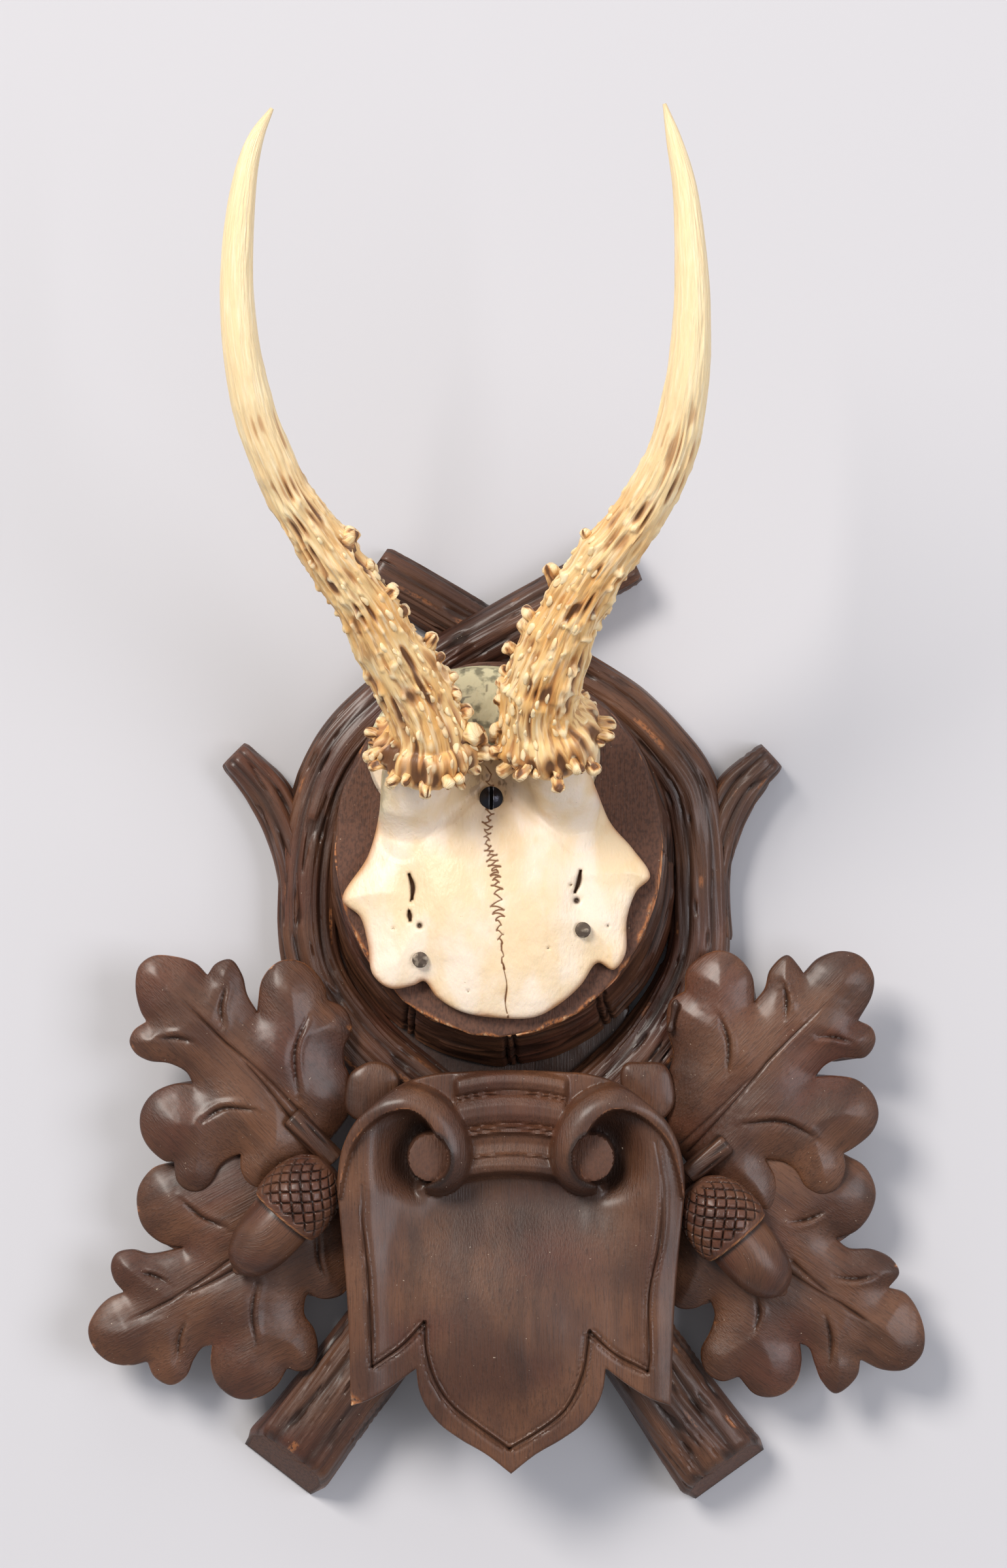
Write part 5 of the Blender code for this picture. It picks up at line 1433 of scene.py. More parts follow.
@dataclass
class PearlScatter:
    """Small pearls of horn that Geometry Nodes set on an antler's skin.

    Attributes:
        spacing: Least distance between two pearls.
        least: Size of the smallest.
        most: Size of the largest.
        seed: Places them.
    """

    spacing: float = 2.9
    least: float = 0.4
    most: float = 1.0
    seed: int = 7

    def tree(self, finish: bpy.types.Material) -> tuple[bpy.types.GeometryNodeTree, dict[str, str]]:
        """Builds the node tree.

        Args:
            finish: Material of the pearls.

        Returns:
            The tree, and the identifiers of its inputs by name.
        """
        tree = bpy.data.node_groups.new("pearl_scatter", "GeometryNodeTree")
        face = tree.interface
        face.new_socket("Geometry", in_out="INPUT", socket_type="NodeSocketGeometry")
        for name in ("Spacing", "Least size", "Most size"):
            face.new_socket(name, in_out="INPUT", socket_type="NodeSocketFloat")
        face.new_socket("Seed", in_out="INPUT", socket_type="NodeSocketInt")
        face.new_socket("Geometry", in_out="OUTPUT", socket_type="NodeSocketGeometry")
        given = tree.nodes.new("NodeGroupInput").outputs
        density = add_node(tree, "GeometryNodeInputNamedAttribute", {"data_type": "FLOAT"}, {"Name": "pearls"})
        spread = tree.nodes.new("GeometryNodeDistributePointsOnFaces")
        spread.distribute_method = "POISSON"
        tree.links.new(given["Geometry"], spread.inputs["Mesh"])
        tree.links.new(given["Spacing"], spread.inputs["Distance Min"])
        tree.links.new(density, spread.inputs["Density Factor"])
        spread.inputs["Density Max"].default_value = 500000.0
        tree.links.new(given["Seed"], spread.inputs["Seed"])
        ball = add_node(tree, "GeometryNodeMeshIcoSphere", None, {"Radius": 1.0, "Subdivisions": 2})
        smooth_ball = add_node(tree, "GeometryNodeSetShadeSmooth", None, {"Geometry": ball})
        size = add_node(
            tree, "FunctionNodeRandomValue", {"data_type": "FLOAT"},
            {2: given["Least size"], 3: given["Most size"], "Seed": 3}, out=1,
        )
        along = add_node(tree, "GeometryNodeInputNamedAttribute", {"data_type": "FLOAT_VECTOR"}, {"Name": "along"})
        laid = add_node(
            tree, "FunctionNodeAlignRotationToVector", {"axis": "Y", "pivot_axis": "Z"},
            {"Rotation": spread.outputs["Rotation"], "Vector": along},
        )
        squash = add_node(tree, "ShaderNodeCombineXYZ", None, {"X": size, "Y": size, "Z": size})
        flat = add_node(tree, "ShaderNodeVectorMath", {"operation": "MULTIPLY"}, {0: squash, 1: (0.8, 2.0, 0.75)})
        pearls = add_node(
            tree, "GeometryNodeInstanceOnPoints", None,
            {"Points": spread.outputs["Points"], "Instance": smooth_ball, "Rotation": laid, "Scale": flat},
        )
        real = add_node(tree, "GeometryNodeRealizeInstances", None, {"Geometry": pearls})
        dents = add_node(tree, "ShaderNodeTexNoise", None, {"Scale": 520.0, "Detail": 1.0}, "Color")
        middle = add_node(tree, "ShaderNodeVectorMath", {"operation": "SUBTRACT"}, {0: dents, 1: (0.5, 0.5, 0.5)})
        push = add_node(tree, "ShaderNodeVectorMath", {"operation": "SCALE"}, {0: middle, "Scale": 1.6 * MM})
        dented = add_node(tree, "GeometryNodeSetPosition", None, {"Geometry": real, "Offset": push})
        toned = add_node(
            tree, "GeometryNodeStoreNamedAttribute", {"data_type": "FLOAT", "domain": "POINT"},
            {"Geometry": dented, "Name": "knob", "Value": 0.9},
        )
        both = add_node(tree, "GeometryNodeJoinGeometry", None, {"Geometry": toned})
        tree.links.new(given["Geometry"], both.node.inputs["Geometry"])
        done = add_node(tree, "GeometryNodeSetMaterial", None, {"Geometry": both, "Material": finish})
        tree.links.new(done, tree.nodes.new("NodeGroupOutput").inputs["Geometry"])
        names = {item.name: item.identifier for item in face.items_tree if item.in_out == "INPUT"}
        return tree, names

    def apply(self, horn: bpy.types.Object, finish: bpy.types.Material) -> None:
        """Sets the pearls and turns the result into plain mesh.

        Args:
            horn: The antler.
            finish: Material of the pearls.
        """
        tree, names = self.tree(finish)
        modifier = horn.modifiers.new("pearls", "NODES")
        modifier.node_group = tree
        modifier[names["Spacing"]] = self.spacing * MM
        modifier[names["Least size"]] = self.least * MM
        modifier[names["Most size"]] = self.most * MM
        modifier[names["Seed"]] = self.seed
        graph = bpy.context.evaluated_depsgraph_get()
        made = bpy.data.meshes.new_from_object(horn.evaluated_get(graph))
        horn.modifiers.clear()
        old, horn.data = horn.data, made
        bpy.data.meshes.remove(old)
        LOG.info("%s with its pearls: %d faces", horn.name, len(made.polygons))


@dataclass
class Skull:
    """Skull plate with both antlers."""

    left: Antler = field(default_factory=lambda: Antler(
        pedicle=(
            (-27.6, 1.5, 31.0, 5.5), (-25.8, 11.0, 39.0, 8.2), (-24.2, 17.5, 44.2, 9.1), (-22.6, 23.0, 50.0, 9.5),
            (-22.0, 25.2, 52.4, 13.2), (-21.6, 27.2, 54.5, 16.4), (-21.5, 29.5, 56.8, 14.6), (-21.5, 32.0, 58.7, 11.0),
        ),
        beam=(
            (-21.6, 34.6, 61.0, 9.8), (-25.8, 44.8, 67.5, 9.2), (-31.5, 54.6, 75.0, 8.4), (-38.4, 67.6, 85.0, 7.2),
            (-45.7, 77.3, 92.5, 6.7), (-51.9, 87.1, 99.0, 6.0), (-56.9, 94.4, 103.5, 5.7), (-60.6, 102.3, 108.0, 5.5),
            (-64.6, 112.6, 113.0, 5.4), (-68.0, 128.0, 118.8, 5.0), (-69.5, 146.0, 123.4, 4.4),
            (-68.7, 163.3, 126.4, 3.8), (-66.4, 178.5, 127.9, 2.8), (-63.9, 186.2, 128.2, 1.9),
            (-60.1, 193.0, 128.2, 0.5),
        ),
        knobs=(
            (-41.0, 82.5, 96.0, 3.0, 2.8), (-36.5, 75.0, 91.0, 1.8, 1.7), (-31.0, 68.0, 85.5, 2.6, 2.4),
            (-27.5, 63.0, 82.0, 2.2, 2.2), (-19.0, 55.0, 74.5, 4.6, 2.2), (-18.5, 50.0, 71.5, 3.4, 1.8),
            (-14.5, 45.0, 67.5, 3.6, 1.7), (-13.5, 41.0, 66.0, 2.6, 2.4), (-11.5, 36.0, 63.0, 3.6, 2.4),
            (-7.5, 29.5, 60.5, 4.4, 4.4), (-8.5, 25.5, 57.0, 4.4, 2.4),
        ),
        inner=1.0, seed=1.0,
    ))
    right: Antler = field(default_factory=lambda: Antler(
        pedicle=(
            (20.6, 3.5, 31.0, 5.5), (18.2, 13.0, 38.6, 8.2), (16.0, 20.5, 44.2, 9.2), (14.2, 26.0, 50.0, 9.7),
            (13.6, 28.2, 52.4, 13.2), (13.2, 30.4, 54.8, 16.4), (12.4, 33.0, 57.4, 14.6), (11.2, 36.0, 60.2, 11.4),
        ),
        beam=(
            (10.4, 39.7, 63.8, 10.0), (12.3, 48.4, 71.0, 9.4), (15.2, 55.3, 76.0, 8.4), (18.6, 63.5, 81.8, 7.6),
            (24.6, 73.6, 89.6, 7.0), (30.5, 81.5, 95.3, 6.7), (35.6, 88.6, 99.6, 6.4), (40.6, 96.8, 104.6, 6.3),
            (45.0, 107.0, 110.0, 6.1), (48.2, 124.0, 117.4, 5.6), (49.2, 140.0, 122.0, 4.9),
            (48.6, 157.0, 125.6, 4.1), (47.0, 173.0, 127.6, 3.1), (44.4, 184.4, 128.2, 2.1),
            (41.8, 194.2, 128.2, 0.5),
        ),
        knobs=(
            (22.5, 82.5, 95.0, 3.0, 1.5), (12.0, 73.0, 86.5, 5.0, 2.4), (6.5, 62.0, 78.0, 4.6, 2.2),
            (9.0, 57.5, 76.0, 3.8, 2.6), (2.5, 52.5, 71.5, 4.0, 2.4), (3.5, 46.5, 67.0, 3.0, 2.2),
            (-0.5, 44.0, 65.0, 3.0, 1.8), (0.5, 39.5, 63.0, 2.6, 2.0), (-0.5, 32.0, 60.5, 3.6, 2.2),
            (0.5, 26.5, 57.5, 4.0, 2.6),
        ),
        inner=-1.0, seed=2.0,
    ))

    def build(self, bone: bpy.types.Material, horn: bpy.types.Material) -> list[bpy.types.Object]:
        """Builds and dresses the skull and the antlers.

        Args:
            bone: Finish of the skull.
            horn: Finish of the antlers.

        Returns:
            The pieces.
        """
        plate = SkullPlate((self.left.pedicle, self.right.pedicle))
        made = [make_object("skull_plate", plate.build(), bone, 60)]
        for name, antler in (("left_antler", self.left), ("right_antler", self.right)):
            piece = make_object(name, antler.build(), horn, 75)
            spine = np.array([*antler.pedicle, *antler.beam], float)[:, :3] * MM
            places = np.empty(len(piece.data.vertices) * 3, np.float32)
            piece.data.vertices.foreach_get("co", places)
            level = places.reshape(-1, 3)[:, 2]
            way = np.gradient(spine, axis=0) / np.linalg.norm(np.gradient(spine, axis=0), axis=1)[:, None]
            along = [np.interp(level, spine[:, 1], part) for part in (way[:, 0], -way[:, 2], way[:, 1])]
            held = piece.data.attributes.new("along", "FLOAT_VECTOR", "POINT")
            held.data.foreach_set("vector", np.column_stack(along).astype(np.float32).ravel())
            PearlScatter(seed=round(7 + antler.seed)).apply(piece, horn)
            made.append(piece)
        return made


# Screw and nails


@dataclass
class Fixing:
    """Headed pin that holds the skull plate.

    Attributes:
        name: Name of the piece.
        node: Solid that it stands for.
        place: Where it sits: x and height.
        radius: Radius of its head.
        rise: Height of its head.
        slot_width: Width of the slot, or 0 for none.
        shank: Radius of its shank.
    """

    name: str
    node: str
    place: Pair
    radius: float
    rise: float
    slot_width: float
    shank: float

    def build(self, steel: bpy.types.Material) -> bpy.types.Object:
        """Builds the head and the shank where the solid has them.

        Args:
            steel: Its finish.

        Returns:
            The piece.
        """
        low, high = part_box(self.node)
        top, end = -low[1] / MM, -high[1] / MM
        seat = top - self.rise
        turn = np.linspace(0, 2 * math.pi, 96, endpoint=False)
        loose = 0.02 if self.slot_width else 0.06
        wobble = noise(np.column_stack([np.cos(turn) * 3, np.sin(turn) * 3, turn * 0]), 1.4, self.place[0])
        radius = self.radius - 0.03 + loose * wobble
        outline = np.array(self.place) + np.column_stack([radius * np.cos(turn), radius * np.sin(turn)])

        def front(flat: Array, edge: Array) -> tuple[Array, dict[str, Array]]:
            """Domed slotted head, or a flat hammered one."""
            off = flat - self.place
            out = np.clip(np.linalg.norm(off, axis=1) / self.radius, 0, 1)
            beaten = noise(lift(flat), 1.1, 111)
            if self.slot_width:
                depth = top - 0.65 * self.rise * out**2.2
                cut = 1 - step(self.slot_width / 2 - 0.1, self.slot_width / 2 + 0.06, np.abs(off[:, 0]))
                depth = np.where(cut > 0, depth * (1 - cut) + (top - 1.0) * cut, depth)
                # The slot is marked for painted shade.
                return depth - 0.01, {"hollow": cut, "wear": bell(np.abs(off[:, 0]) - 0.55, 0.12)}
            depth = top - 0.12 - 0.25 * out**3 + 0.06 * beaten
            return depth, {"hollow": 0 * out, "wear": step(-0.2, 0.6, beaten)}

        rim = self.rise * (0.3 if self.slot_width else 0.7)
        head = Panel(outline, 0.16, 0.12, rim, lambda p: seat + 0 * p[:, 0], self.place, 0.97).build(front)
        rod = [(0.05, 0.0), (self.shank, 0.02), (self.shank, seat - end - 0.3), (0.05, seat - end)]

        def plain(turn: Array, run: Array, radius: Array) -> tuple[Array, dict[str, Array]]:
            """Plain shank."""
            return 0 * run, {"hollow": 0 * run, "wear": 0 * run}

        foot = (*self.place, seat + 0.02)
        shank = turned(rod, foot, (*self.place, end), 24, plain, 1.0)
        return make_object(self.name, joined([head, shank]), steel, 35)


# Finishes


@dataclass(frozen=True)
class Mask:
    """Where a layer of a finish shows.

    Attributes:
        source: A named number of the surface, or the widths in millimetres of a noise's features.
        low: Value of the source where the share begins to change.
        high: Value of the source where it has changed.
        start: Share at the low value.
        end: Share at the high value.
        detail: How many finer noises lie on the first.
    """

    source: str | tuple[float, float, float]
    low: float
    high: float
    start: float = 0.0
    end: float = 1.0
    detail: float = 3.0


@dataclass(frozen=True)
class Layer:
    """Colour over the layers beneath it, where all of its masks show."""

    colour: str
    masks: tuple[Mask, ...]


class Coating:
    """Principled material in the making; its noises are laid out in millimetres of the surface's grain."""

    def __init__(self, name: str) -> None:
        """Starts the material with its grain coordinates."""
        self.material = bpy.data.materials.new(name)
        self.material.use_nodes = True
        self.tree = self.material.node_tree
        self.shader = self.tree.nodes["Principled BSDF"]
        self.grain = add_node(self.tree, "ShaderNodeAttribute", {"attribute_name": "grain"}, out="Vector")

    def share(self, masks: Sequence[Mask]) -> bpy.types.NodeSocket:
        """Multiplies masks.

        Args:
            masks: At least one mask.

        Returns:
            The output that holds their product.
        """
        found = []
        for mask in masks:
            if isinstance(mask.source, str):
                value = add_node(self.tree, "ShaderNodeAttribute", {"attribute_name": mask.source}, out="Fac")
            else:
                widths = tuple(1 / width for width in mask.source)
                place = add_node(
                    self.tree, "ShaderNodeVectorMath", {"operation": "MULTIPLY"}, {0: self.grain, 1: widths}
                )
                value = add_node(
                    self.tree, "ShaderNodeTexNoise", None, {"Vector": place, "Scale": 1.0, "Detail": mask.detail}, "Fac"
                )
            limits = {"From Min": mask.low, "From Max": mask.high, "To Min": mask.start, "To Max": mask.end}
            shown = add_node(
                self.tree, "ShaderNodeMapRange", {"interpolation_type": "SMOOTHSTEP"}, {"Value": value} | limits
            )
            found.append(shown)
        total = found[0]
        for shown in found[1:]:
            total = add_node(self.tree, "ShaderNodeMath", {"operation": "MULTIPLY"}, {0: total, 1: shown})
        return total

    def paint(self, base: str, layers: Sequence[Layer]) -> None:
        """Lays colours over each other.

        Args:
            base: Hex colour of the ground.
            layers: Layers from the lowest to the highest.
        """
        tone: Any = linear(base)
        for layer in layers:
            settings = {0: self.share(layer.masks), 6: tone, 7: linear(layer.colour)}
            tone = add_node(self.tree, "ShaderNodeMix", {"data_type": "RGBA"}, settings, 2)
        self.tree.links.new(tone, self.shader.inputs["Base Color"])

    def surface(
        self, numbers: Mapping[str, float | tuple[float, ...]], varied: Mapping[str, Sequence[Mask]],
        relief: Sequence[Mask], height: float,
    ) -> None:
        """Sets gloss and fine relief.

        Args:
            numbers: Shader inputs that are the same all over.
            varied: Shader inputs that follow masks.
            relief: Masks whose product is the fine relief.
            height: Height of the relief in millimetres.
        """
        for name, value in numbers.items():
            self.shader.inputs[name].default_value = value
        for name, masks in varied.items():
            self.tree.links.new(self.share(masks), self.shader.inputs[name])
        bump = add_node(
            self.tree, "ShaderNodeBump", None, {"Height": self.share(relief), "Strength": 0.6, "Distance": height * MM}
        )
        self.tree.links.new(bump, self.shader.inputs["Normal"])


@dataclass(frozen=True)
class StainedWood:
    """Limewood under walnut stain and shellac.

    The stain sits darker along the fibres. A near-black painted shade fills the cuts, grooves, holes and recessed
    ground, and the same mask gives the old glue its own dark tone. The shellac gives a satin gloss with clear
    highlights, and rubbed edges show the orange-brown wood.
    """

    body: str = "472a1c"
    light: str = "623f2a"
    deep: str = "27160e"
    worn: str = "a0643a"
    matte: str = "5c3c2d"

    def make(self) -> bpy.types.Material:
        """Makes the material."""
        coating = Coating("walnut_stained_limewood")
        coating.paint(self.body, (
            Layer(self.light, (Mask((19.0, 27.0, 19.0), 0.36, 0.68),)),
            Layer("562d20", (Mask((31.0, 31.0, 31.0), 0.5, 0.72, 0.0, 0.55, 2.0),)),
            Layer(self.deep, (Mask((6.0, 70.0, 6.0), 0.46, 0.74, 0.0, 0.45, 2.0),)),
            Layer(self.deep, (Mask((0.42, 10.0, 0.42), 0.45, 0.75, 0.0, 0.45),)),
            Layer("1c100a", (Mask((0.2, 2.4, 0.3), 0.63, 0.75, 0.0, 0.5, 1.0),)),
            Layer(self.matte, (Mask("raw", 0.0, 1.0),)),
            Layer("412a20", (Mask("raw", 0.0, 1.0), Mask((0.8, 1.2, 0.8), 0.4, 0.66, 0.0, 0.8, 4.0))),
            # Painted shade: near-black in cuts, grooves, holes and recesses; on the glue, its own dark tone.
            Layer("1c0f09", (Mask("hollow", 0.0, 1.0, 0.0, 0.78),)),
            Layer(self.worn, (Mask("wear", 0.25, 0.95), Mask((0.8, 1.2, 0.8), 0.36, 0.56, detail=4.0))),
            Layer("cba27a", (Mask("wear", 0.6, 1.0, 0.0, 0.8), Mask((1.6, 2.2, 1.6), 0.5, 0.66))),
            Layer("bcab97", (Mask((0.6, 0.6, 0.6), 0.86, 0.9, 0.0, 0.6, 0.0),)),
        ))
        coating.surface(
            {"Specular IOR Level": 0.34, "Coat Roughness": 0.25},
            {
                "Roughness": (Mask("raw", 0.0, 1.0, 0.5, 0.66),),
                "Coat Weight": (Mask("raw", 0.0, 0.6, 0.36, 0.03), Mask((14.0, 20.0, 14.0), 0.3, 0.7, 0.55, 1.0)),
            },
            (Mask((0.42, 10.0, 0.42), 0.3, 0.75, 0.3), Mask((0.8, 1.2, 0.8), 0.2, 0.8, 0.5, 1.0, 4.0)),
            0.22,
        )
        return coating.material


@dataclass(frozen=True)
class CleanedBone:
    """Boiled and bleached bone.

    Cream and a little translucent, with warm clouds, brown seams, painted shade in its holes and pores, orange-brown
    sawn edges, and a grey-green back of the skull that is darkened as painted shade between and behind the antlers.
    """

    pale: str = "ebdac6"
    warm: str = "e4cba6"
    brown: str = "b4702f"
    grey: str = "d6cda6"

    def make(self) -> bpy.types.Material:
        """Makes the material."""
        coating = Coating("cleaned_bone")
        coating.paint(self.pale, (
            Layer(self.warm, (Mask((13.0, 24.0, 13.0), 0.36, 0.62),)),
            Layer("d9b276", (Mask((5.0, 11.0, 5.0), 0.55, 0.8, 0.0, 0.4, 5.0),)),
            Layer("b08a5a", (Mask("stain", 0.0, 1.0, 0.0, 0.75),)),
            Layer("6d5238", (Mask("stain", 0.45, 1.0), Mask((1.6, 2.6, 1.6), 0.5, 0.62, 0.0, 0.75, 5.0))),
            Layer(self.brown, (Mask("edge", 0.15, 1.0, 0.0, 0.72),)),
            # Grey-green tone with painted shade between and behind the antlers, in two layers, the second mottled.
            Layer(self.grey, (Mask("aged", 0.0, 1.0, 0.0, 0.95),)),
            Layer("6f6a50", (Mask("aged", 0.2, 1.0), Mask((4.0, 4.0, 4.0), 0.46, 0.62, 0.0, 0.85, 6.0))),
            Layer("70431d", (Mask("seam", 0.15, 0.8, 0.0, 0.95),)),
            # Painted shade: dark brown in holes and pores.
            Layer("3c2411", (Mask("pit", 0.15, 0.85),)),
            Layer("8f683c", (Mask((0.9, 0.9, 0.9), 0.79, 0.84, 0.0, 0.55, 1.0),)),
        ))
        coating.surface(
            {"Roughness": 0.42, "Subsurface Weight": 0.08, "Subsurface Radius": (0.004, 0.002, 0.001),
             "Subsurface Scale": 0.5, "Specular IOR Level": 0.45},
            {},
            (Mask((0.9, 1.8, 0.9), 0.2, 0.8, detail=4.0),),
            0.16,
        )
        return coating.material


@dataclass(frozen=True)
class WeatheredHorn:
    """Antler as the buck left it.

    Bark and blood have stained its furrows, its ridges and pearls are golden to cream, and the rubbed spikes are
    smooth ivory with a low gloss.
    """

    gold: str = "e2ad66"
    tan: str = "ebc98f"
    cream: str = "f9e9c6"
    bark: str = "5c371d"

    def make(self) -> bpy.types.Material:
        """Makes the material."""
        coating = Coating("weathered_horn")
        coating.paint(self.gold, (
            Layer(self.tan, (Mask((9.0, 20.0, 9.0), 0.35, 0.66),)),
            Layer("f2dbad", (Mask("share", 0.22, 0.7, 0.0, 0.9),)),
            Layer(self.cream, (Mask((1.0, 11.0, 1.0), 0.47, 0.72, 0.0, 0.62),)),
            Layer("9b6634", (Mask("share", 0.06, 0.62, 0.9, 0.12), Mask((0.9, 9.0, 0.9), 0.34, 0.5, 0.8, 0.0))),
            Layer("a9662c", (Mask("furrow", 0.05, 0.4, 0.0, 0.6),)),
            Layer(self.bark, (Mask("furrow", 0.35, 0.85, 0.0, 0.9),)),
            Layer("f6e2b8", (Mask("knob", 0.35, 1.0, 0.0, 0.8), Mask((1.6, 1.6, 1.6), 0.3, 0.6, 0.45))),
            Layer("f0e2c4", (Mask("skull", 0.0, 1.0, 0.0, 0.95),)),
        ))
        coating.surface(
            {"Subsurface Weight": 0.06, "Subsurface Radius": (0.003, 0.0015, 0.0008), "Subsurface Scale": 0.5},
            {"Roughness": (Mask("share", 0.2, 0.9, 0.46, 0.34),)},
            (Mask((0.9, 9.0, 0.9), 0.25, 0.75),),
            0.3,
        )
        return coating.material


@dataclass(frozen=True)
class Steel:
    """Old steel, oil-blackened or dull and brown with age; its rubbed places shine through."""

    name: str
    colour: str
    rubbed: str
    roughness: float

    def make(self) -> bpy.types.Material:
        """Makes the material."""
        coating = Coating(self.name)
        coating.paint(self.colour, (
            Layer(self.rubbed, (Mask("wear", 0.0, 1.0), Mask((1.1, 1.1, 1.1), 0.35, 0.65, 0.2, 1.0, 4.0))),
            # Painted shade: near-black in the screw's slot.
            Layer("080605", (Mask("hollow", 0.0, 1.0),)),
        ))
        coating.surface(
            {"Metallic": 0.9, "Roughness": self.roughness}, {}, (Mask((1.1, 1.1, 1.1), 0.2, 0.8, detail=4.0),), 0.08
        )
        return coating.material


@dataclass(frozen=True)
class WallPaint:
    """Matte pale emulsion: even."""

    colour: str = "c1c0c4"

    def make(self) -> bpy.types.Material:
        """Makes the material."""
        made = bpy.data.materials.new("matte_wall_paint")
        made.use_nodes = True
        shader = made.node_tree.nodes["Principled BSDF"]
        shader.inputs["Base Color"].default_value = linear(self.colour)
        shader.inputs["Roughness"].default_value = 0.9
        return made


# Camera, light and wall


@dataclass
class Studio:
    """Camera, soft lights and the wall behind the plaque."""

    distance: float = 1.4
    eye_height: float = 0.0175
    lens: float = 112.4

    def camera(self) -> None:
        """Sets the camera straight in front of the wall."""
        data = bpy.data.cameras.new("camera")
        data.sensor_fit = "VERTICAL"
        data.sensor_height = 36.0
        data.sensor_width = 36.0
        data.lens = self.lens
        seen = bpy.data.objects.new("camera", data)
        seen.location = (0.0, -self.distance, self.eye_height)
        seen.rotation_euler = (math.pi / 2, 0.0, 0.0)
        bpy.context.scene.collection.objects.link(seen)
        bpy.context.scene.camera = seen

    def light(self, name: str, place: Sequence[float], size: float, power: float, colour: str) -> None:
        """Adds a soft square light that aims at the plaque.

        Args:
            name: Its name.
            place: Where it hangs, in metres.
            size: Its side, in metres.
            power: Its power in watts.
            colour: Its colour.
        """
        data = bpy.data.lights.new(name, "AREA")
        data.size = size
        data.energy = power
        data.color = linear(colour)[:3]
        lamp = bpy.data.objects.new(name, data)
        lamp.location = place
        lamp.rotation_euler = (Vector((0, 0, 0)) - Vector(place)).to_track_quat("-Z", "Y").to_euler()
        bpy.context.scene.collection.objects.link(lamp)

    def wall(self) -> bpy.types.Object:
        """Adds the wall just behind the plaque."""
        mesh = bpy.data.meshes.new("wall")
        corners = [(x * 1.5, 0.0008, z * 1.5) for x, z in ((-1, -1), (1, -1), (1, 1), (-1, 1))]
        mesh.from_pydata(corners, [], [(0, 1, 2, 3)])
        mesh.materials.append(WallPaint().make())
        made = bpy.data.objects.new("wall", mesh)
        bpy.context.scene.collection.objects.link(made)
        return made

    def build(self) -> None:
        """Builds the studio."""
        self.camera()
        self.light("window", (-1.6, -2.7, 1.75), 1.2, 124.0, "fff9f1")
        self.light("room", (2.1, -2.7, 0.1), 1.7, 52.0, "f7f8ff")
        self.light("ceiling", (0.2, -1.3, 2.9), 1.6, 11.0, "ffffff")
        self.wall()
        world = bpy.data.worlds.new("room")
        world.use_nodes = True
        world.node_tree.nodes["Background"].inputs["Color"].default_value = linear("eceef2")
        world.node_tree.nodes["Background"].inputs["Strength"].default_value = 0.46
        bpy.context.scene.world = world
        bpy.context.scene.view_settings.view_transform = "Standard"


# The plaque


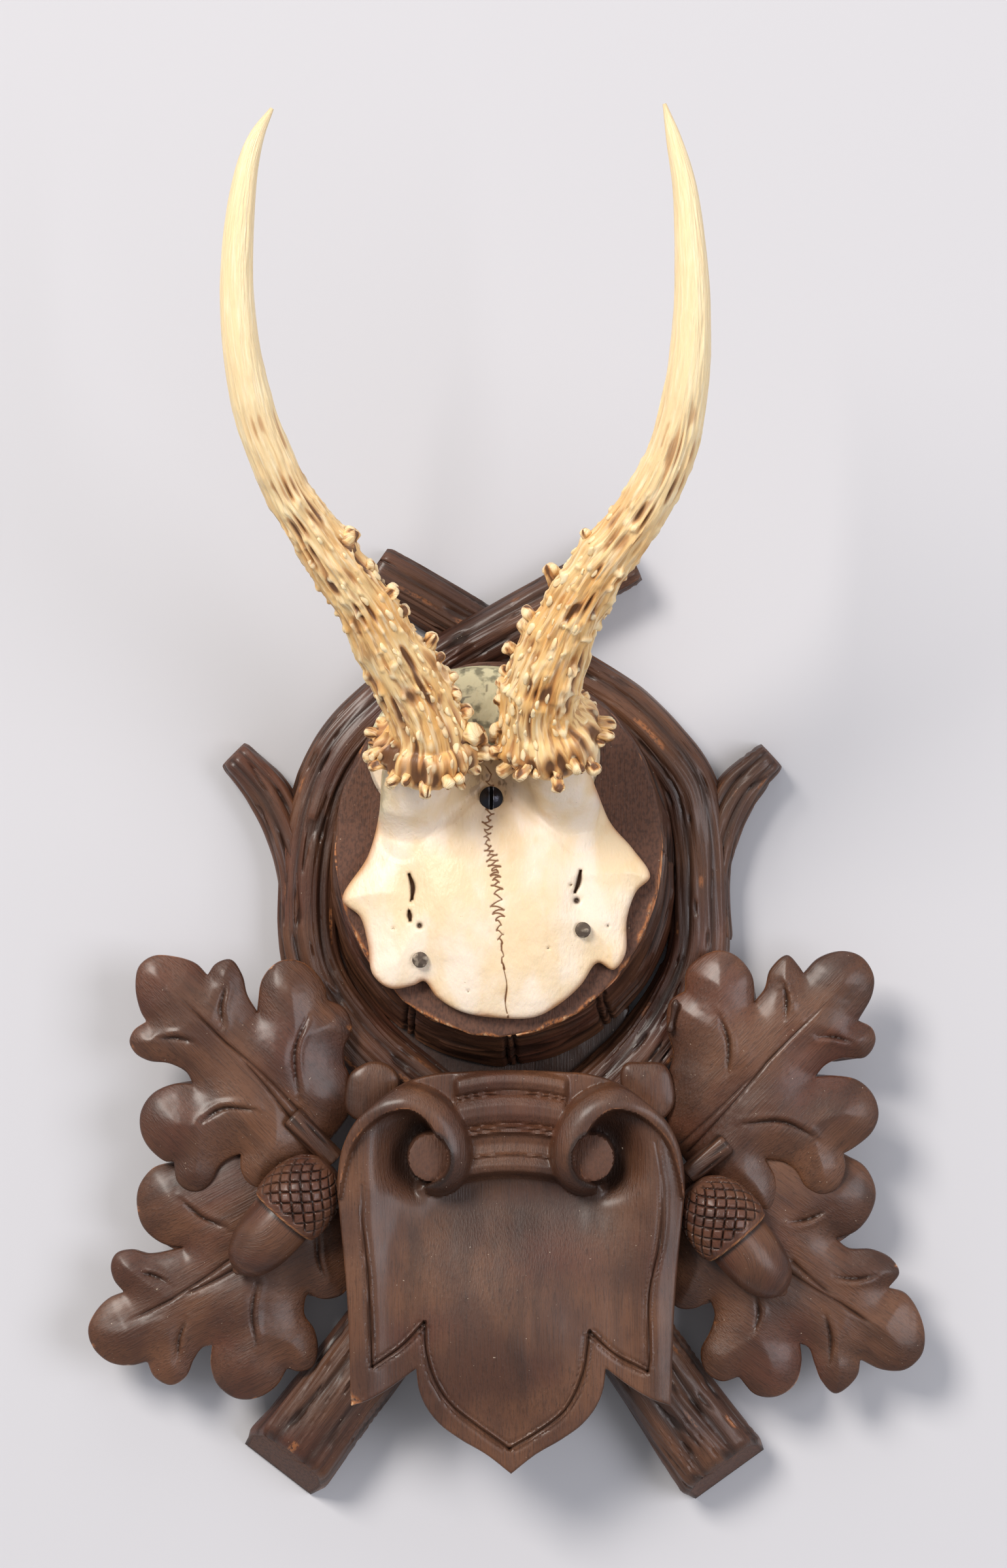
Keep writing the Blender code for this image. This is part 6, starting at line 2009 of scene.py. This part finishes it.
@dataclass
class Plaque:
    """Whole plaque."""

    def leaves(self) -> list[OakSpray]:
        """Gives both sprays of oak."""
        upper_left = OakLeaf(
            outline=(
                (-50.6, -39), (-53.7, -34.8), (-57.5, -32.4), (-63.1, -32.4), (-67.8, -37.2), (-69.3, -46.6, 1),
                (-72.1, -41.8), (-73.5, -36.3), (-76.7, -31.9), (-80.9, -33), (-83.3, -36.3, 1), (-86.6, -33),
                (-92.3, -31.1), (-98.7, -30.9), (-102.6, -33.9), (-103.5, -40), (-102, -46.6), (-100.4, -49.3, 1),
                (-103.9, -51.7), (-105.2, -55), (-103.5, -58.3), (-99.6, -60.4), (-94.1, -61.1), (-89.3, -63.5),
                (-87.3, -66.8, 1), (-92.3, -66.8), (-98.7, -69.6), (-102, -74.7), (-102, -80.4), (-99.6, -85),
                (-95, -88.7), (-92.7, -88.7, 1), (-91.7, -94.4), (-88.4, -96.9), (-84.8, -96.8), (-82, -94.4),
                (-80, -90.1), (-77.2, -87.8), (-73.9, -86.5, 1), (-73.9, -90.7), (-72.1, -94.4), (-68.8, -96.2),
                (-60.7, -92.9), (-49.6, -83.7), (-42.3, -72.7), (-43.4, -64.8), (-44.9, -61.6, 1), (-44.9, -56.9),
                (-42.7, -51.2), (-44.9, -45.7), (-49.6, -43.3, 1),
            ),
            midrib=((-58.4, -75.5), (-68.0, -64.5), (-78.5, -54.5), (-87.0, -46.0), (-94.1, -39.5)),
            veins=(
                ((-55.1, -48.3), (-58.4, -56.8), (-57.5, -70.9)), ((-78, -39), (-79.3, -45), (-78.9, -50.1)),
                ((-96.4, -54), (-91.8, -53.8), (-87.4, -54.9)), ((-84.6, -77.3), (-78.9, -73.6), (-69.6, -74)),
            ),
            depth=26.5, back=17.8, settle=4.5, centre=(-72.2, -64.1), seed=1, chips=((-43.6, -51.2, 1.6),),
        )
        lower_left = OakLeaf(
            outline=(
                (-92.9, -89, 1), (-99, -91), (-102.9, -96.2), (-103.4, -102.3), (-101.4, -108), (-96.2, -112.2),
                (-90.5, -113.3, 1), (-99.9, -115), (-104.7, -113.9), (-109.3, -115), (-110.8, -118.3),
                (-109.9, -122.5), (-107.1, -125.9, 1), (-111.4, -127.7), (-115.1, -131.4), (-117.2, -136.2),
                (-116, -141.3), (-111.4, -145.6), (-105.6, -146.7), (-100.5, -145.6, 1), (-98.6, -149.8),
                (-93.8, -152.2), (-89.6, -149.8), (-87.4, -145), (-85, -141.7), (-82.2, -140.8, 1), (-82.6, -146.5),
                (-80.8, -152), (-75.6, -155.9), (-69.9, -155.9), (-64.3, -152.6), (-61, -147.4, 1), (-57.7, -148.3),
                (-53.8, -146.9), (-52.4, -141.7), (-53.5, -136.5), (-56.2, -132.3), (-55.9, -127.7),
                (-55.1, -126.2, 1), (-52, -127.7), (-48.3, -127.7), (-45, -126.2), (-40.9, -119), (-40.9, -104.3),
                (-49.8, -93.2), (-60.8, -85.8), (-75.6, -82.2), (-86.7, -85.8),
            ),
            midrib=((-76.2, -117.8), (-84.0, -122.6), (-91.5, -126.6), (-100.0, -131.0), (-107.7, -134.5)),
            veins=(
                ((-90.4, -99.7), (-84.7, -104.5), (-78.2, -107.2)), ((-101.8, -120.3), (-98.5, -121), (-95.2, -122.5)),
                ((-89.5, -133.6), (-91.3, -138.7), (-91.7, -143.9)),
                ((-69.4, -122.7), (-70.7, -131.7), (-69.6, -140.6)),
                ((-52.5, -109.6), (-52.1, -116.1), (-50.6, -121.4)),
            ),
            depth=22.0, back=17.6, settle=0.0, centre=(-79.3, -121.0), seed=2,
            chips=((-56.1, -91.2, 1.3), (-62.6, -102.2, 1.0)),
        )
        upper_right = OakLeaf(
            outline=(
                (52, -34.4), (59.6, -29.5), (65.1, -30.6), (69.9, -36.3), (70.6, -43.8, 1), (73.5, -40), (75, -34.8),
                (79.8, -30.6), (82.9, -33.5), (84.4, -35.7, 1), (88.6, -31.5), (95.2, -29.5), (100.7, -31.1),
                (104.1, -36.3), (103.7, -41.8), (99.8, -49, 1), (103.7, -51.2), (104.6, -55), (101.7, -59.4),
                (95.2, -59.6), (90.5, -61.6), (87.7, -64.8, 1), (93.4, -64.6), (99.8, -65.9), (104.1, -70.1),
                (105.5, -75.6), (103.7, -80.4), (98.9, -84.6), (95.6, -86.5, 1), (96.2, -90.7), (93.8, -96.2),
                (89.5, -98), (84.9, -95.8), (82.5, -91.6), (79.2, -88.9), (73.5, -87.8, 1), (76.5, -93.5),
                (76.5, -100.1), (74.6, -102.8), (64.3, -98.4), (53.3, -91.1), (46, -78.2), (46.7, -63.5, 1),
                (47.8, -58.7), (46, -50.6), (46.9, -43.8), (51.1, -40.9, 1),
            ),
            midrib=((51.1, -84.9), (63.0, -72.5), (74.0, -60.5), (84.0, -50.5), (93.3, -41.4)),
            veins=(
                ((60.4, -47.4), (63, -54.2), (62.8, -63.4)), ((78.6, -39), (79.5, -43.2), (79.1, -47.9)),
                ((97.5, -54.9), (92.9, -53.6), (88.5, -53.5)), ((67.4, -77.9), (78.2, -77.3), (86.6, -81.2)),
            ),
            depth=26.5, back=17.8, settle=4.5, centre=(75.2, -64.1), seed=3,
        )
        lower_right = OakLeaf(
            outline=(
                (96.4, -87.1, 1), (102, -90.5), (105.1, -97.5), (103.4, -104.1), (99.2, -108.9), (93.7, -110.7, 1),
                (97.4, -113.5), (104, -113.9), (109.5, -116.5), (111.7, -120.5), (108.6, -124.7, 1), (113.4, -126.2),
                (117.1, -131.4), (118.9, -138), (118, -143.6), (113.4, -147.8), (106.8, -147.8), (100.7, -145, 1),
                (99.7, -149.8), (93.7, -154.6), (89.8, -151.1), (87.9, -146.5), (86.1, -141.7), (83.7, -140.4, 1),
                (84.1, -145.6), (82.2, -152), (76.7, -155.5), (71, -154.8), (66.4, -149.8, 1), (61.6, -151.1),
                (57, -148.3), (55.7, -142.6), (58.3, -137.1), (59.6, -132.3), (58.3, -128.1, 1), (54, -130.5),
                (48.5, -129.9), (45.7, -122.7), (45.7, -102.4), (53.5, -87.7), (66.4, -82.2), (83, -82.2),
            ),
            midrib=((80.6, -118.2), (87.5, -123.5), (94.5, -128.3), (101.0, -132.8), (106.9, -136.9)),
            veins=(
                ((90.2, -103), (85.8, -105), (80.8, -105.8)), ((104.8, -120.9), (99.1, -121.8), (93.5, -121.4)),
                ((90.6, -132.1), (92.1, -138.7), (91.7, -145.3)), ((70.9, -126.6), (71.8, -131.7), (70.5, -136.3)),
            ),
            depth=22.0, back=17.6, settle=0.0, centre=(81.1, -121.0), seed=4,
        )
        left_lobe = (
            (-43.5, -64.9), (-41.6, -62.7), (-37, -60.7), (-32.2, -61.8), (-29.4, -65.5), (-31.3, -72.9),
            (-38.7, -77.8), (-44.2, -74.7),
        )
        right_lobe = (
            (46.8, -63.7), (44.6, -61.3), (39.1, -60.9), (34.3, -61.3), (32.9, -64.6), (35, -72.9), (42.4, -78.0),
            (47.9, -72.9),
        )
        left_acorn = Acorn((-56.9, -98.3), (-75.2, -119.6), ((-59.6, -75.8), (-47.0, -88.4)))
        right_acorn = Acorn((60.8, -104.2), (77.6, -124.2), ((62.8, -83.0), (51.5, -92.5)))
        return [
            OakSpray(Hand.LEFT, (upper_left, lower_left), left_lobe, (-37.0, -69.5), left_acorn),
            OakSpray(
                Hand.RIGHT, (upper_right, lower_right), right_lobe, (40.5, -69.5), right_acorn,
                (((46.6, -52.6, 22.4), (48.6, -43.0, 23.2)),),
            ),
        ]

    def build(self) -> list[tuple[bpy.types.Object, str, str]]:
        """Builds every piece and hangs it in the frame.

        Returns:
            Each piece with the node that it replaces and its slot.
        """
        stained = StainedWood().make()
        bone = CleanedBone().make()
        horn = WeatheredHorn().make()
        blackened = Steel("oil_blackened_steel", "34343a", "8c8c92", 0.3).make()
        dull = Steel("aged_steel", "5d5148", "96897a", 0.55).make()
        hung: list[tuple[bpy.types.Object, str, str]] = [
            (Backboard().build(stained), "carved_backboard", "stained_wood"),
            (ScrollShield().build(stained), "shield", "stained_wood"),
        ]
        for spray in self.leaves():
            hung.append((spray.build(stained), f"{spray.hand.name.lower()}_oak_spray", "stained_wood"))
        hung += [(piece, "skull_with_antlers", "bone") for piece in Skull().build(bone, horn)]
        for fixing, steel, slot in (
            (Fixing("slotted_screw", "skull_screw", (-3.4, 13.6), 3.3, 2.2, 0.9, 1.8), blackened, "darkened_steel"),
            (Fixing("flat_left_nail", "left_nail", (-23.1, -31.3), 2.2, 1.1, 0.0, 1.0), dull, "worn_steel"),
            (Fixing("flat_right_nail", "right_nail", (22.0, -23.0), 2.2, 1.1, 0.0, 1.0), dull, "worn_steel"),
        ):
            hung.append((fixing.build(steel), fixing.node, slot))
        for piece, node, slot in hung:
            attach(piece, "root")
            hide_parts(node)
        return hung


def main() -> None:
    """Dresses the plaque and sets up its portrait."""
    logging.basicConfig(level=logging.INFO, format="%(message)s")
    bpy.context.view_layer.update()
    for piece, node, slot in Plaque().build():
        LOG.info("%s replaces %s, in %s", piece.name, node, slot)
    Studio().build()


if __name__ == "__main__":
    main()
